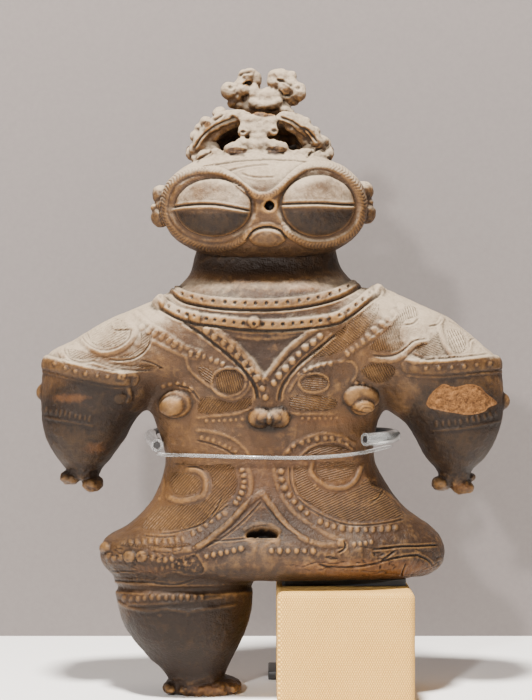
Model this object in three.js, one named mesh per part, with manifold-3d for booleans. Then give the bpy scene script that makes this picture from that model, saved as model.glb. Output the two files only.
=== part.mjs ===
// A goggle-eyed fired-clay figurine with one leg, standing on its foot and on a cloth-covered block
// under the hip whose leg is lost, and steadied at the waist by a forked stand.
// Millimetres, +Z up, the face towards -Y.
import * as THREE from 'three';
import { mergeVertices } from 'three/addons/utils/BufferGeometryUtils.js';
import Module from 'manifold-3d';

const wasm = await Module();
wasm.setup();

// Driving dimensions. The figure is a free form: its places are in thousandths of its height.
const HEIGHT = 342;
const BLOCK_WIDTH = 72.5;
const BLOCK_DEPTH = 78;
const BLOCK_EDGE = 1.4;
const BLOCK_LEFT = 3.5;
const BLOCK_FRONT = -48;
const PAD_THICKNESS = 3.4;
const PAD_INSET = 3;
const PAD_FRONT_INSET = 24;
const PAD_CORNER = 2;
const REST_GAP = 0.3;
const ROD = 3.4;
const SLEEVE_BORE_GAP = 0.3;
const SLEEVE_WALL = 1.5;
const SLEEVE_LENGTH = 34;
const LINE = 2;
const LINE_GAP = 0.5;
const POST = 7;
const POST_GAP = 6;
const STAND_MIDDLE = 29;
const STAND_WIDTH = 60;
const STAND_HEIGHT = 5;
const STAND_EDGE = 0.8;
const STAND_GAP = 2.5;
const STAND_MARGIN = 2.5;

// Sizes of the figure that its neighbours use, in thousandths of the height.
const UNDERSIDE = 188.5;
const HIP_DEPTH = 137;
const FORK_HEIGHT = 412;

const mm = (share) => (share * HEIGHT) / 1000;

// Horizontal slices of the lofted masses: height, left edge, right edge, half depth, and the depth of
// the middle where it isn't nought.
const TRUNK = [
  [742, -110, 100, 54], [690, -123, 110, 62], [668, -130, 122, 73], [646, -149, 145, 95],
  [615, -180, 177, 110], [580, -196, 193, 113], [531, -204, 199, 111],
  [483, -201, 196, 108], [428, -183, 172, 96],
  [377, -168, 167, 91], [335, -176, 186, 96], [297, -197, 215, 108], [268, -228, 254, 121],
  [244, -267, 277, 135], [216, -273, 280, HIP_DEPTH], [201, -266, 274, 129], [UNDERSIDE, -251, 258, 104],
];
const LEFT_ARM = [
  [641, -164, -45, 26], [624, -193, -38, 67], [596, -260, -50, 88], [563, -315, -72, 96],
  [541, -357, -98, 96], [506, -365, -142, 94], [461, -367, -190, 86], [437, -365, -215, 80],
  [406, -359, -232, 73], [375, -342, -254, 54], [354, -325, -273, 32], [338, -321, -277, 26],
];
const RIGHT_ARM = [
  [646, 60, 186, 26], [621, 50, 239, 70], [596, 56, 291, 88], [554, 80, 342, 96],
  [533, 102, 365, 96], [493, 148, 374, 92], [454, 186, 374, 85], [433, 215, 371, 79],
  [403, 235, 361, 72], [372, 252, 343, 53], [358, 266, 326, 40], [342, 271, 320, 30], [328, 275, 317, 26],
];
// The yoke runs through both shoulders, so that the chest flows into the arms.
const YOKE = [
  [650, -118, 128, 70], [634, -160, 186, 93], [615, -214, 244, 103], [594, -255, 285, 106],
  [568, -302, 322, 107], [538, -344, 352, 105], [508, -354, 364, 95], [482, -348, 358, 66],
  [466, -340, 350, 30],
];
const LEG = [
  [205, -238, -39, 99], [178, -249, -27, 107], [146, -245, -28, 108], [117, -238, -32, 104],
  [88, -221, -43, 94], [59, -197, -58, 75], [33, -169, -71, 53, -6], [16, -160, -75, 48, -9],
];
const FOOT = [
  [25, -156, -72, 40, -6], [18, -166, -50, 48, -6], [9, -168, -46, 50, -5], [0, -163, -50, 47, -5],
];
const CROWN = [
  [936, -42, 16, 26], [925, -66, 38, 38], [908, -96, 66, 58], [886, -112, 86, 70],
  [862, -120, 98, 76], [848, -117, 95, 76],
];
const CROWN_HOLLOW = [
  [912, -58, 32, 34], [898, -80, 54, 46], [880, -96, 70, 55], [862, -99, 76, 58],
];

// Cross-sections run from an ellipse, at 2, towards a rounded box.
const ROUNDNESS = 2.3;
const HEAD_ROUNDNESS = 2.4;
const FACE_FLATNESS = 3.2;
const HEAD = { middle: [-9, -16, 776], reach: [163, 104, 86] };
const TRUNK_SIDES = 24;
const YOKE_SIDES = 18;
const ARM_SIDES = 14;
const LEG_SIDES = 18;
const FOOT_SIDES = 12;
const CROWN_SIDES = 18;
const HOLLOW_SIDES = 10;
const HEAD_SIDES = 22;
const HEAD_LEVELS = 9;
const LUMP_SIDES = 8;
const PELLET_SIDES = 6;
const BAND_SIDES = 4;

// A Manifold solid from a three.js geometry.
function solid(geometry) {
  const bare = new THREE.BufferGeometry();
  bare.setAttribute('position', geometry.getAttribute('position'));
  if (geometry.index) bare.setIndex(geometry.index);
  const merged = mergeVertices(bare, 1e-4);
  return new wasm.Manifold(new wasm.Mesh({
    numProp: 3,
    vertProperties: new Float32Array(merged.getAttribute('position').array),
    triVerts: new Uint32Array(merged.index.array),
  }));
}

function geometryOf(body) {
  const mesh = body.getMesh();
  const geometry = new THREE.BufferGeometry();
  const places = new Float32Array(mesh.vertProperties);
  geometry.setAttribute('position', new THREE.BufferAttribute(places, 3));
  geometry.setIndex(new THREE.BufferAttribute(new Uint32Array(mesh.triVerts), 1));
  geometry.computeVertexNormals();
  return geometry;
}

function join(bodies) {
  return bodies.reduce((whole, body) => whole.add(body));
}

// The outer skin of a joined mass, without the small voids left where its lumps meet inside.
function outerSkin(body) {
  return body.decompose().sort((a, b) => b.volume() - a.volume())[0];
}

// A closed skin over rings of points, each ring with the same count and turning the same way.
function skin(rings) {
  const count = rings[0].length;
  const points = rings.flat();
  const triangles = [];
  for (let r = 0; r + 1 < rings.length; r += 1) {
    for (let i = 0; i < count; i += 1) {
      const a = r * count + i;
      const b = r * count + ((i + 1) % count);
      triangles.push(a, b, b + count, a, b + count, a + count);
    }
  }
  const sumOf = (ring) => ring.reduce((sum, point) => sum.add(point), new THREE.Vector3());
  const last = (rings.length - 1) * count;
  points.push(sumOf(rings[0]).divideScalar(count), sumOf(rings.at(-1)).divideScalar(count));
  for (let i = 0; i < count; i += 1) {
    const next = (i + 1) % count;
    triangles.push(points.length - 2, next, i);
    triangles.push(points.length - 1, last + i, last + next);
  }
  const geometry = new THREE.BufferGeometry().setFromPoints(points);
  geometry.setIndex(triangles);
  return solid(geometry);
}

function power(value, exponent) {
  return Math.sign(value) * Math.abs(value) ** exponent;
}

// A mass lofted downwards through its slices.
function loft(slices, sides) {
  const rings = slices.map(([z, left, right, half, y = 0]) => (
    Array.from({ length: sides }, (_, i) => {
      const turn = (-2 * Math.PI * i) / sides;
      return new THREE.Vector3(
        mm((left + right) / 2 + ((right - left) / 2) * power(Math.cos(turn), 2 / ROUNDNESS)),
        mm(y + half * power(Math.sin(turn), 2 / ROUNDNESS)),
        mm(z),
      );
    })));
  return skin(rings);
}

function blob(middle, reach, sides = LUMP_SIDES) {
  const geometry = new THREE.SphereGeometry(1, sides, Math.round(sides * 0.6));
  geometry.scale(...reach.map(mm));
  geometry.translate(...middle.map(mm));
  return solid(geometry);
}

// How far the face stands from the head's own middle: a wide flattened form.
function headReach(x, z) {
  const across = Math.abs((x - HEAD.middle[0]) / HEAD.reach[0]) ** HEAD_ROUNDNESS;
  const up = Math.abs((z - HEAD.middle[2]) / HEAD.reach[2]) ** HEAD_ROUNDNESS;
  return HEAD.reach[1] * Math.max(1 - across - up, 0) ** (1 / FACE_FLATNESS);
}

function headMass() {
  const rings = Array.from({ length: HEAD_LEVELS - 1 }, (_, level) => {
    const rise = Math.cos((Math.PI * (level + 1)) / HEAD_LEVELS);
    const wide = HEAD.reach[0] * (1 - Math.abs(rise) ** HEAD_ROUNDNESS) ** (1 / HEAD_ROUNDNESS);
    const z = HEAD.middle[2] + HEAD.reach[2] * rise;
    return Array.from({ length: HEAD_SIDES }, (__, i) => {
      const turn = (-2 * Math.PI * (i + 0.5)) / HEAD_SIDES;
      const x = HEAD.middle[0] + wide * Math.cos(turn);
      return new THREE.Vector3(x, HEAD.middle[1] + Math.sign(turn + Math.PI) * -headReach(x, z), z)
        .multiplyScalar(HEIGHT / 1000);
    });
  });
  return skin(rings);
}

// How far the outer skin stands from the mid-plane at a place seen from the front.
const FORMS = [TRUNK, YOKE, LEFT_ARM, RIGHT_ARM, LEG];

function reachAt(x, z) {
  const reaches = FORMS.map((slices) => {
    const below = slices.findIndex((s) => s[0] <= z);
    if (below < 1) return 0;
    const [high, low] = [slices[below - 1], slices[below]];
    const part = (high[0] - z) / (high[0] - low[0]);
    const [left, right, half] = [1, 2, 3].map((k) => high[k] + (low[k] - high[k]) * part);
    const across = Math.abs((2 * x - left - right) / (right - left));
    return across < 1 ? half * (1 - across ** ROUNDNESS) ** (1 / ROUNDNESS) : 0;
  });
  const face = headReach(x, z);
  const head = face > 0 ? face - HEAD.middle[1] : 0;
  return Math.max(head, ...reaches);
}

// The place on the front skin and the way out of it.
function onSkin(x, z) {
  const nudge = 2;
  const slopeX = (reachAt(x + nudge, z) - reachAt(x - nudge, z)) / (2 * nudge);
  const slopeZ = (reachAt(x, z + nudge) - reachAt(x, z - nudge)) / (2 * nudge);
  return {
    place: new THREE.Vector3(mm(x), -mm(reachAt(x, z)), mm(z)),
    out: new THREE.Vector3(-slopeX, -1, -slopeZ).normalize(),
  };
}

// A raised band of clay laid on the skin along a curve drawn from the front.
function band(route, width, height, steps) {
  const curve = new THREE.SplineCurve(route.map(([x, z]) => new THREE.Vector2(x, z)));
  const flat = Array.from({ length: steps + 1 }, (_, i) => curve.getPoint(i / steps));
  const spots = flat.map(({ x, y }) => onSkin(x, y));
  const rings = spots.map(({ place, out }, i) => {
    const before = spots[Math.max(i - 1, 0)].place;
    const after = spots[Math.min(i + 1, steps)].place;
    const across = new THREE.Vector3().subVectors(after, before).cross(out).normalize();
    return Array.from({ length: BAND_SIDES }, (_, k) => {
      const turn = (-2 * Math.PI * k) / BAND_SIDES;
      return place.clone()
        .addScaledVector(across, (mm(width) / 2) * Math.cos(turn))
        .addScaledVector(out, mm(height) * Math.sin(turn));
    });
  });
  return skin(rings);
}

// A lump of clay on the skin, standing out by its last size.
function lump(x, z, wide, high, out) {
  return blob([x, -reachAt(x, z), z], [wide, out, high]);
}

// The goggle eyes: a sunk socket round each bulging lid, and one straight groove across the lids.
const EYE_SIDES = 16;
const SOCKET_MARGIN = 8;
const SOCKET_DEPTH = 9;
const LID_SINK = 10;
const LID_BULGE = 22;
const GROOVE_HALF = 2.2;
const GROOVE_DEPTH = 5;
const GROOVE_STEPS = 8;
const EYES = [
  { x: -90, z: 766, wide: 61, high: 45, turn: -10, tilt: 3 },
  { x: 78, z: 770, wide: 58, high: 51, turn: 10, tilt: 0 },
];

function atEye({ x, z, turn, tilt }, body) {
  return body.rotate([0, tilt, turn]).translate([x, -reachAt(x, z), z].map(mm));
}

function eyeSocket(eye) {
  const reach = [eye.wide + SOCKET_MARGIN, 2 * SOCKET_DEPTH, eye.high + SOCKET_MARGIN];
  return atEye(eye, blob([0, -SOCKET_DEPTH, 0], reach, EYE_SIDES));
}

function eyeLid(eye) {
  const lid = blob([0, LID_SINK, 0], [eye.wide, LID_BULGE, eye.high], EYE_SIDES);
  return atEye(eye, lid.subtract(eyeGroove(eye)));
}

// A slim V-shaped cut that follows the swell of the lid from corner to corner.
function eyeGroove({ wide }) {
  const rings = Array.from({ length: GROOVE_STEPS + 1 }, (_, i) => {
    const turn = Math.PI * (0.02 + (0.96 * i) / GROOVE_STEPS);
    const deep = mm(LID_SINK) - mm(LID_BULGE) * Math.sin(turn);
    const place = new THREE.Vector3(mm(wide) * Math.cos(turn), deep, 0);
    const out = new THREE.Vector3(Math.cos(turn) / wide, -Math.sin(turn) / LID_BULGE, 0).normalize();
    const up = new THREE.Vector3(0, 0, 1);
    return [[out, GROOVE_DEPTH], [up, GROOVE_HALF], [out, -GROOVE_DEPTH], [up, -GROOVE_HALF]]
      .map(([way, far]) => place.clone().addScaledVector(way, mm(far)));
  });
  return skin(rings);
}

// The beaded rim runs from one side of the mouth over both eyes, dipping between them.
const RIM = [
  [-45, 717], [-78, 704], [-118, 706], [-152, 728], [-166, 752], [-166, 778], [-160, 800], [-142, 818],
  [-115, 830], [-88, 830], [-62, 816], [-38, 801], [-14, 789], [4, 793], [22, 810], [42, 826], [64, 836],
  [88, 837], [112, 830], [134, 812], [149, 794], [152, 772], [147, 748], [134, 727], [112, 711], [88, 703],
  [62, 706], [40, 718], [28, 728],
];

const RIM_WIDTH = 16;
const RIM_HEIGHT = 8;
const RIM_STEPS = 38;

const EARS = [
  { x: -177, z: 795, high: 17 }, { x: -177, z: 756, high: 18 },
  { x: 157, z: 799, high: 18 }, { x: 158, z: 763, high: 18 },
];
const EAR_HALF = 11;
const EAR_DEPTH = 17;
const MOUTH = [-5, 727, 29, 11, 13];
const NOSTRIL = { x: -1, z: 772, radius: 8.5, depth: 30 };
const NOSTRIL_SIDES = 12;

// A round hole straight in from the front.
function nostril() {
  const { x, z, radius, depth } = NOSTRIL;
  const geometry = new THREE.CylinderGeometry(mm(radius), mm(radius), mm(2 * depth), NOSTRIL_SIDES);
  geometry.translate(mm(x), -mm(reachAt(x, z)), mm(z));
  return solid(geometry);
}

function ear({ x, z, high }) {
  return blob([x, HEAD.middle[1], z], [EAR_HALF, EAR_DEPTH, high]);
}

function head() {
  let body = headMass();
  EYES.forEach((eye) => { body = body.subtract(eyeSocket(eye)); });
  EYES.forEach((eye) => { body = body.add(eyeLid(eye)); });
  const rim = band(RIM, RIM_WIDTH, RIM_HEIGHT, RIM_STEPS);
  return join([body, ...EARS.map(ear), rim, lump(...MOUTH)]).subtract(nostril());
}

// The crown is a hollow openwork dome with a collar, a dish and two pairs of knobs on top.
const WINDOWS = [
  [[-97, 868], [-88, 888], [-70, 903], [-49, 911], [-48, 892], [-60, 886], [-74, 866]],
  [[9, 909], [30, 903], [46, 888], [56, 866], [34, 864], [26, 884], [9, 890]],
];
const BACK_WINDOWS = [
  [[-92, 874], [-84, 890], [-66, 894], [-62, 880], [-74, 872]],
  [[52, 874], [46, 890], [28, 894], [24, 880], [36, 872]],
];

// A window cut from the crown's middle out through its wall, to the front at side -1 and the back at 1.
const WINDOW_DEPTH = 104;

function window(outline, side) {
  const shape = new THREE.Shape(outline.map(([x, z]) => new THREE.Vector2(mm(x), mm(z))));
  const geometry = new THREE.ExtrudeGeometry(shape, { depth: mm(WINDOW_DEPTH), bevelEnabled: false });
  geometry.rotateX(Math.PI / 2);
  if (side > 0) geometry.translate(0, mm(WINDOW_DEPTH), 0);
  return solid(geometry);
}

// Lumps of the crown: place across, depth and height, then the three half sizes.
const CROWN_LUMPS = [
  [[-65, -12, 964], [15, 16, 16]], [[-38, -8, 986], [16, 17, 15]], [[-47, 0, 960], [18, 22, 20]],
  [[15, -8, 981], [20, 18, 18]], [[44, -12, 963], [16, 16, 18]], [[32, 0, 956], [18, 22, 18]],
  [[-38, 16, 976], [17, 16, 17]], [[16, 14, 975], [18, 17, 17]], [[-10, 4, 948], [42, 28, 19]],
  [[-12, 0, 928], [30, 26, 20]], [[-80, -28, 916], [15, 16, 14]], [[-97, -18, 903], [14, 16, 15]],
  [[-112, -12, 885], [13, 16, 15]], [[-108, -20, 860], [16, 26, 15]], [[48, -30, 911], [17, 17, 13]],
  [[64, -20, 902], [14, 16, 14]], [[80, -16, 883], [15, 20, 15]], [[87, -18, 861], [16, 26, 15]],
  [[-60, -64, 868], [20, 17, 13]], [[10, -64, 869], [23, 17, 13]], [[-24, -56, 884], [25, 17, 25]],
  [[-100, 26, 886], [20, 22, 24]], [[72, 28, 886], [20, 22, 24]],
];

const DISH = [[-8, -4, 966], [24, 26, 12]];

function crown() {
  let body = loft(CROWN, CROWN_SIDES);
  body = body.subtract(loft(CROWN_HOLLOW, HOLLOW_SIDES));
  WINDOWS.forEach((outline) => { body = body.subtract(window(outline, -1)); });
  BACK_WINDOWS.forEach((outline) => { body = body.subtract(window(outline, 1)); });
  CROWN_LUMPS.forEach(([middle, reach]) => { body = body.add(blob(middle, reach, PELLET_SIDES)); });
  return body.subtract(blob(...DISH));
}

// Raised bands on the front: the route seen from the front, the width, the height and the steps.
const BANDS = [
  [[[-151, 645], [-124, 628], [-68, 617], [-1, 616], [75, 628], [110, 641], [141, 656]], 14, 7, 10],
  [
    [[-174, 623], [-151, 609], [-115, 595], [-53, 584], [-2, 581], [51, 585], [105, 597], [170, 643]],
    14, 8, 12,
  ],
  [[[-115, 592], [-84, 571], [-53, 545], [-30, 519], [-8, 488]], 19, 7, 6],
  [[[105, 592], [87, 571], [58, 550], [35, 529], [13, 509], [-8, 480]], 19, 7, 6],
  [[[-8, 495], [-6, 460]], 20, 8, 3],
  [[[-346, 540], [-329, 529], [-288, 512], [-260, 506], [-217, 501]], 22, 7, 6],
  [[[220, 523], [252, 524], [307, 530], [356, 529]], 26, 7, 6],
  [[[-44, 368], [-42, 337], [-53, 313], [-76, 289], [-109, 267], [-172, 256], [-205, 256]], 12, 5, 9],
  [[[15, 364], [19, 336], [32, 313], [56, 290], [90, 273], [160, 270], [225, 281]], 12, 5, 9],
  [[[-14, 328], [-34, 306], [-62, 284], [-114, 236]], 15, 7, 5],
  [[[-14, 328], [-1, 302], [23, 278], [74, 240]], 15, 7, 5],
  [[[-262, 238], [-200, 236], [-120, 231], [-8, 231], [90, 231], [180, 240], [268, 238]], 18, 5, 14],
  [[[-243, 163], [-190, 153], [-110, 148], [-34, 154]], 15, 5, 9],
];

// Knobs, breasts and the navel: place, half width, half height and how far they stand out.
const LUMPS = [
  [-143, 466, 25, 24, 16], [-143, 466, 12, 12, 30], [141, 463, 24, 22, 16], [142, 462, 11, 11, 30],
  [-2, 440, 35, 17, 24], [-170, 622, 13, 11, 13], [-116, 594, 13, 11, 13], [-24, 590, 12, 10, 12],
  [107, 592, 16, 11, 13], [-262, 236, 11, 9, 10], [-222, 232, 12, 9, 11], [-204, 231, 10, 8, 10],
  [-363, 480, 13, 11, 14], [374, 469, 12, 14, 14],
];

// Each hand is two stubby lumps turned outwards below the wrist.
const HANDS = [
  [[-317, -5, 342], [18, 24, 12]], [[-284, -7, 333], [17, 22, 13]],
  [[276, -5, 332], [17, 24, 12]], [[312, -7, 327], [17, 22, 12]],
];

// The hole under the belly, where the inside shows.
const BELLY_HOLE = { x: -13, z: 261, reach: [24, 30, 7] };

function bellyHole() {
  const { x, z, reach } = BELLY_HOLE;
  return blob([x, -reachAt(x, z), z], reach);
}

function figurine() {
  const masses = [
    loft(TRUNK, TRUNK_SIDES), loft(YOKE, YOKE_SIDES), loft(LEFT_ARM, ARM_SIDES),
    loft(RIGHT_ARM, ARM_SIDES), loft(LEG, LEG_SIDES), loft(FOOT, FOOT_SIDES),
  ];
  const hands = HANDS.map(([middle, reach]) => blob(middle, reach));
  const bands = BANDS.map((sizes) => band(...sizes));
  const lumps = LUMPS.map(([x, z, wide, high, out]) => lump(x, z, wide, high, out));
  const body = join([...masses, head(), crown(), ...hands, ...bands, ...lumps]);
  return outerSkin(body.subtract(bellyHole()));
}

function material(color, roughness, metalness = 0) {
  return new THREE.MeshStandardMaterial({ color, roughness, metalness });
}

function named(name, geometry, look) {
  const mesh = new THREE.Mesh(geometry, look);
  mesh.name = name;
  return mesh;
}

function roundedOutline(width, depth, corner) {
  const [w, d] = [width / 2 - corner, depth / 2 - corner];
  const shape = new THREE.Shape();
  shape.absarc(w, d, corner, 0, Math.PI / 2);
  shape.absarc(-w, d, corner, Math.PI / 2, Math.PI);
  shape.absarc(-w, -d, corner, Math.PI, 1.5 * Math.PI);
  shape.absarc(w, -d, corner, 1.5 * Math.PI, 2 * Math.PI);
  return shape;
}

// A slab with rounded upright edges and a rounded top edge, standing on its flat underside.
function slab(width, depth, height, edge) {
  const shape = roundedOutline(width - 2 * edge, depth - 2 * edge, edge / 2);
  const geometry = new THREE.ExtrudeGeometry(shape, {
    depth: height - edge, bevelSize: edge, bevelThickness: edge, bevelSegments: 2, curveSegments: 3,
  });
  const under = new THREE.BoxGeometry(2 * width, 2 * depth, 4 * edge).translate(0, 0, -2 * edge);
  return geometryOf(solid(geometry).subtract(solid(under)));
}

// The supports under the hip whose leg is lost.
const PAD_TOP = mm(UNDERSIDE) - REST_GAP;
const BLOCK_TOP = PAD_TOP - PAD_THICKNESS - REST_GAP;
const BLOCK_MIDDLE = BLOCK_LEFT + BLOCK_WIDTH / 2;
const BLOCK_BACK = BLOCK_FRONT + BLOCK_DEPTH;

function block() {
  const geometry = slab(BLOCK_WIDTH, BLOCK_DEPTH, BLOCK_TOP, BLOCK_EDGE);
  geometry.translate(BLOCK_MIDDLE, BLOCK_FRONT + BLOCK_DEPTH / 2, 0);
  return geometry;
}

function pad() {
  const depth = BLOCK_DEPTH - PAD_INSET - PAD_FRONT_INSET;
  const shape = roundedOutline(BLOCK_WIDTH - 2 * PAD_INSET, depth, PAD_CORNER);
  const geometry = new THREE.ExtrudeGeometry(shape, {
    depth: PAD_THICKNESS, bevelEnabled: false, curveSegments: 4,
  });
  geometry.translate(BLOCK_MIDDLE, BLOCK_BACK - PAD_INSET - depth / 2, PAD_TOP - PAD_THICKNESS);
  return geometry;
}

// The stand: a steel foot behind the block, a post, and a fork whose two prongs reach round the waist.
const POST_BACK = mm(HIP_DEPTH) + POST_GAP + POST;
const POST_PLACE = [STAND_MIDDLE, POST_BACK - POST / 2];

// The routes of the prongs from their tips to the post, in thousandths of the figure's height.
const PRONGS = {
  left: [[-179.5, -35, 396], [-185.5, -6, 400], [-193.5, 41, 405], [-193, 99.5, 410], [-158, 165, 412]],
  right: [[148.5, -79, 407.5], [177, -55.5, 408], [196, -11.5, 409], [206, 47, 411], [187, 142, 412]],
};

function prongCurve(side) {
  const points = PRONGS[side].map((place) => new THREE.Vector3(...place.map(mm)));
  points.push(new THREE.Vector3(...POST_PLACE, mm(FORK_HEIGHT)));
  return new THREE.CatmullRomCurve3(points, false, 'centripetal');
}

// A round rod or tube along part of a curve, from one share of its length to another.
function along(curve, from, to, radius, hollow, steps) {
  const shares = Array.from({ length: steps + 1 }, (_, i) => from + ((to - from) * i) / steps);
  const route = new THREE.CatmullRomCurve3(shares.map((share) => curve.getPointAt(share)));
  const section = new THREE.Shape().absarc(0, 0, radius, 0, 2 * Math.PI);
  if (hollow) section.holes.push(new THREE.Path().absarc(0, 0, hollow, 0, 2 * Math.PI, true));
  return new THREE.ExtrudeGeometry(section, { steps, curveSegments: 4, extrudePath: route });
}

// The rod is faceted like its sleeve as far as the sleeve reaches, and the rest starts inside that.
const SLEEVE_STEPS = 8;
const ROD_STEPS = 10;
const REST_START = 0.98;
const POST_SIDES = 12;

function prong(side) {
  const curve = prongCurve(side);
  const share = SLEEVE_LENGTH / curve.getLength();
  const inSleeve = solid(along(curve, 0, share, ROD / 2, 0, SLEEVE_STEPS));
  return inSleeve.add(solid(along(curve, share * REST_START, 1, ROD / 2, 0, ROD_STEPS)));
}

function stand() {
  const front = BLOCK_BACK + STAND_GAP;
  const depth = POST_BACK + STAND_MARGIN - front;
  const foot = slab(STAND_WIDTH, depth, STAND_HEIGHT, STAND_EDGE);
  foot.translate(STAND_MIDDLE, front + depth / 2, 0);
  const height = mm(FORK_HEIGHT) + ROD / 2;
  const post = new THREE.CylinderGeometry(POST / 2, POST / 2, height, POST_SIDES);
  post.rotateX(Math.PI / 2);
  post.translate(...POST_PLACE, height / 2);
  return geometryOf(join([solid(foot), solid(post), prong('left'), prong('right')]));
}

const SLEEVE_BORE = ROD / 2 + SLEEVE_BORE_GAP;
const SLEEVE_OUTER = SLEEVE_BORE + SLEEVE_WALL;

function sleeve(side) {
  const curve = prongCurve(side);
  return along(curve, 0, SLEEVE_LENGTH / curve.getLength(), SLEEVE_OUTER, SLEEVE_BORE, SLEEVE_STEPS);
}

// The line that holds the waist between the prongs lies on the skin and is tied under both sleeves.
const LINE_ROUTE = [
  [-162, 381], [-150, 381.5], [-130, 382], [-100, 382], [-50, 381], [0, 380], [50, 379.5], [90, 381],
  [118, 383], [138, 385], [153, 387],
];
const LINE_STEPS = 30;
const LEFT_TIE = 2;
const RIGHT_TIE = 28;

// The place under a sleeve at a distance from its prong's tip.
function underSleeve(side, far) {
  const curve = prongCurve(side);
  const place = curve.getPointAt(far / curve.getLength());
  place.z -= SLEEVE_OUTER + LINE_GAP + LINE / 2;
  return place;
}

function waistLine() {
  const front = LINE_ROUTE.map(([x, z]) => {
    const { place, out } = onSkin(x, z);
    return place.addScaledVector(out, LINE / 2 + LINE_GAP);
  });
  const points = [underSleeve('left', LEFT_TIE), ...front, underSleeve('right', RIGHT_TIE)];
  const route = new THREE.CatmullRomCurve3(points, false, 'centripetal');
  return along(route, 0, 1, LINE / 2, 0, LINE_STEPS);
}

const dogu = new THREE.Group();
dogu.add(
  named('dogu_figurine', geometryOf(figurine()), material(0x86705a, 0.85)),
  named('support_block', block(), material(0xe8c9a0, 0.95)),
  named('rest_pad', pad(), material(0x16181b, 0.9)),
  named('stand', stand(), material(0x17181a, 0.45, 0.6)),
  named('sleeve_left', sleeve('left'), material(0xdfe4e6, 0.2)),
  named('sleeve_right', sleeve('right'), material(0xdfe4e6, 0.2)),
  named('waist_line', waistLine(), material(0xe6eaec, 0.15)),
);

// The origin is the middle of the underside of the whole.
const box = new THREE.Box3().setFromObject(dogu);
const middle = box.getCenter(new THREE.Vector3());
dogu.position.set(-middle.x, -middle.y, -box.min.z);

export default dogu;
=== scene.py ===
import itertools
import math

import bpy
import numpy as np
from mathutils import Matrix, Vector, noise


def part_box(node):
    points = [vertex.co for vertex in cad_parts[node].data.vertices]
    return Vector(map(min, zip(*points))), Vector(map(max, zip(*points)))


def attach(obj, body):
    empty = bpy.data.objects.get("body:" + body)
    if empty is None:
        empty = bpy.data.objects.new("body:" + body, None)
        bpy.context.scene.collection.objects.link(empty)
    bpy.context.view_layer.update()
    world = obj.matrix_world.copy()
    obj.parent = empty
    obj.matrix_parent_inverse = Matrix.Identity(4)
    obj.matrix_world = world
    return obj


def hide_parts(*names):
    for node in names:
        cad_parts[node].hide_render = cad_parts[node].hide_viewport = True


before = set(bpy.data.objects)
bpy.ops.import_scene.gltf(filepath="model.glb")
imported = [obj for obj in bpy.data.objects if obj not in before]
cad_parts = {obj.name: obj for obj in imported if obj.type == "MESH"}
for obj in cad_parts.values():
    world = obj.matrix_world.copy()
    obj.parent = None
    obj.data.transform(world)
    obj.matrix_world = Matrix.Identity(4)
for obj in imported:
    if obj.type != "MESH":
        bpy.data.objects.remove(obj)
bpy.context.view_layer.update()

# The figure's own axis stands where the block's near left corner says. Metres, +Z up, the face towards -Y.
HEIGHT = 0.342
SHARE = HEIGHT / 1000
BLOCK_LOW, BLOCK_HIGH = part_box("support_block")
BLOCK_LEFT, BLOCK_FRONT = 0.0035, -0.048
AXIS = np.array([BLOCK_LOW.x - BLOCK_LEFT, BLOCK_LOW.y - BLOCK_FRONT, 0])

# The camera, and how it draws a place in the 532 by 700 photograph.
CAMERA = AXIS + (-0.0022, -1.0, 0.1872)
PHOTO_HEIGHT = 700
PHOTO_MIDDLE = (266, 350)
FOCAL_PIXELS = 1820
SENSOR = 36
PIXEL = HEIGHT * 0.0016066


def in_photo(points):
    """Where points show in the photograph, the back of the figure as if it were its front."""
    depth = CAMERA[1] - AXIS[1]
    away = -depth - np.abs(points[:, 1] - AXIS[1])
    across = PHOTO_MIDDLE[0] + FOCAL_PIXELS * (points[:, 0] - CAMERA[0]) / away
    down = PHOTO_MIDDLE[1] - FOCAL_PIXELS * (points[:, 2] - CAMERA[2]) / away
    return across, down


def from_photo(across, down, depth):
    """The place at a depth in front of the figure's axis, in thousandths of its height, seen at a pixel."""
    away = -(CAMERA[1] - AXIS[1]) - depth * SHARE
    x = CAMERA[0] + (across - PHOTO_MIDDLE[0]) * away / FOCAL_PIXELS
    z = CAMERA[2] - (down - PHOTO_MIDDLE[1]) * away / FOCAL_PIXELS
    return np.array([x, AXIS[1] - depth * SHARE, z])


def place(shares):
    """A place in metres from one in thousandths of the height about the figure's axis."""
    return AXIS + np.asarray(shares, float) * SHARE


def soft_step(value, low, high):
    share = np.clip((value - low) / (high - low), 0, 1)
    return share * share * (3 - 2 * share)


def spline(points, steps):
    """Points on a smooth curve through the given ones."""
    points = np.asarray(points, float)
    ends = [2 * points[0] - points[1]], [2 * points[-1] - points[-2]]
    padded = np.vstack([ends[0], points, ends[1]])
    share = np.linspace(0, 1, steps, endpoint=False)[:, None]
    pieces = []
    for a, b, c, d in zip(padded, padded[1:], padded[2:], padded[3:]):
        bend = (2 * a - 5 * b + 4 * c - d) * share ** 2 + (3 * b - a - 3 * c + d) * share ** 3
        pieces.append(b + ((c - a) * share + bend) / 2)
    return np.vstack([*pieces, points[-1:]])


def power(value, exponent):
    return np.sign(value) * np.abs(value) ** exponent


# Meshes from rings of points.

def skin_of(rings):
    """The points and faces of a closed skin over rings that each have the same count."""
    rings = np.asarray(rings)
    count = rings.shape[1]
    corner = np.arange(count)
    following = (corner + 1) % count
    faces = [tuple(corner[::-1]), tuple(corner + (len(rings) - 1) * count)]
    for start in range(0, (len(rings) - 1) * count, count):
        quads = np.stack([corner, following, following + count, corner + count], 1) + start
        faces += [tuple(quad) for quad in quads]
    return rings.reshape(-1, 3), faces


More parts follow.
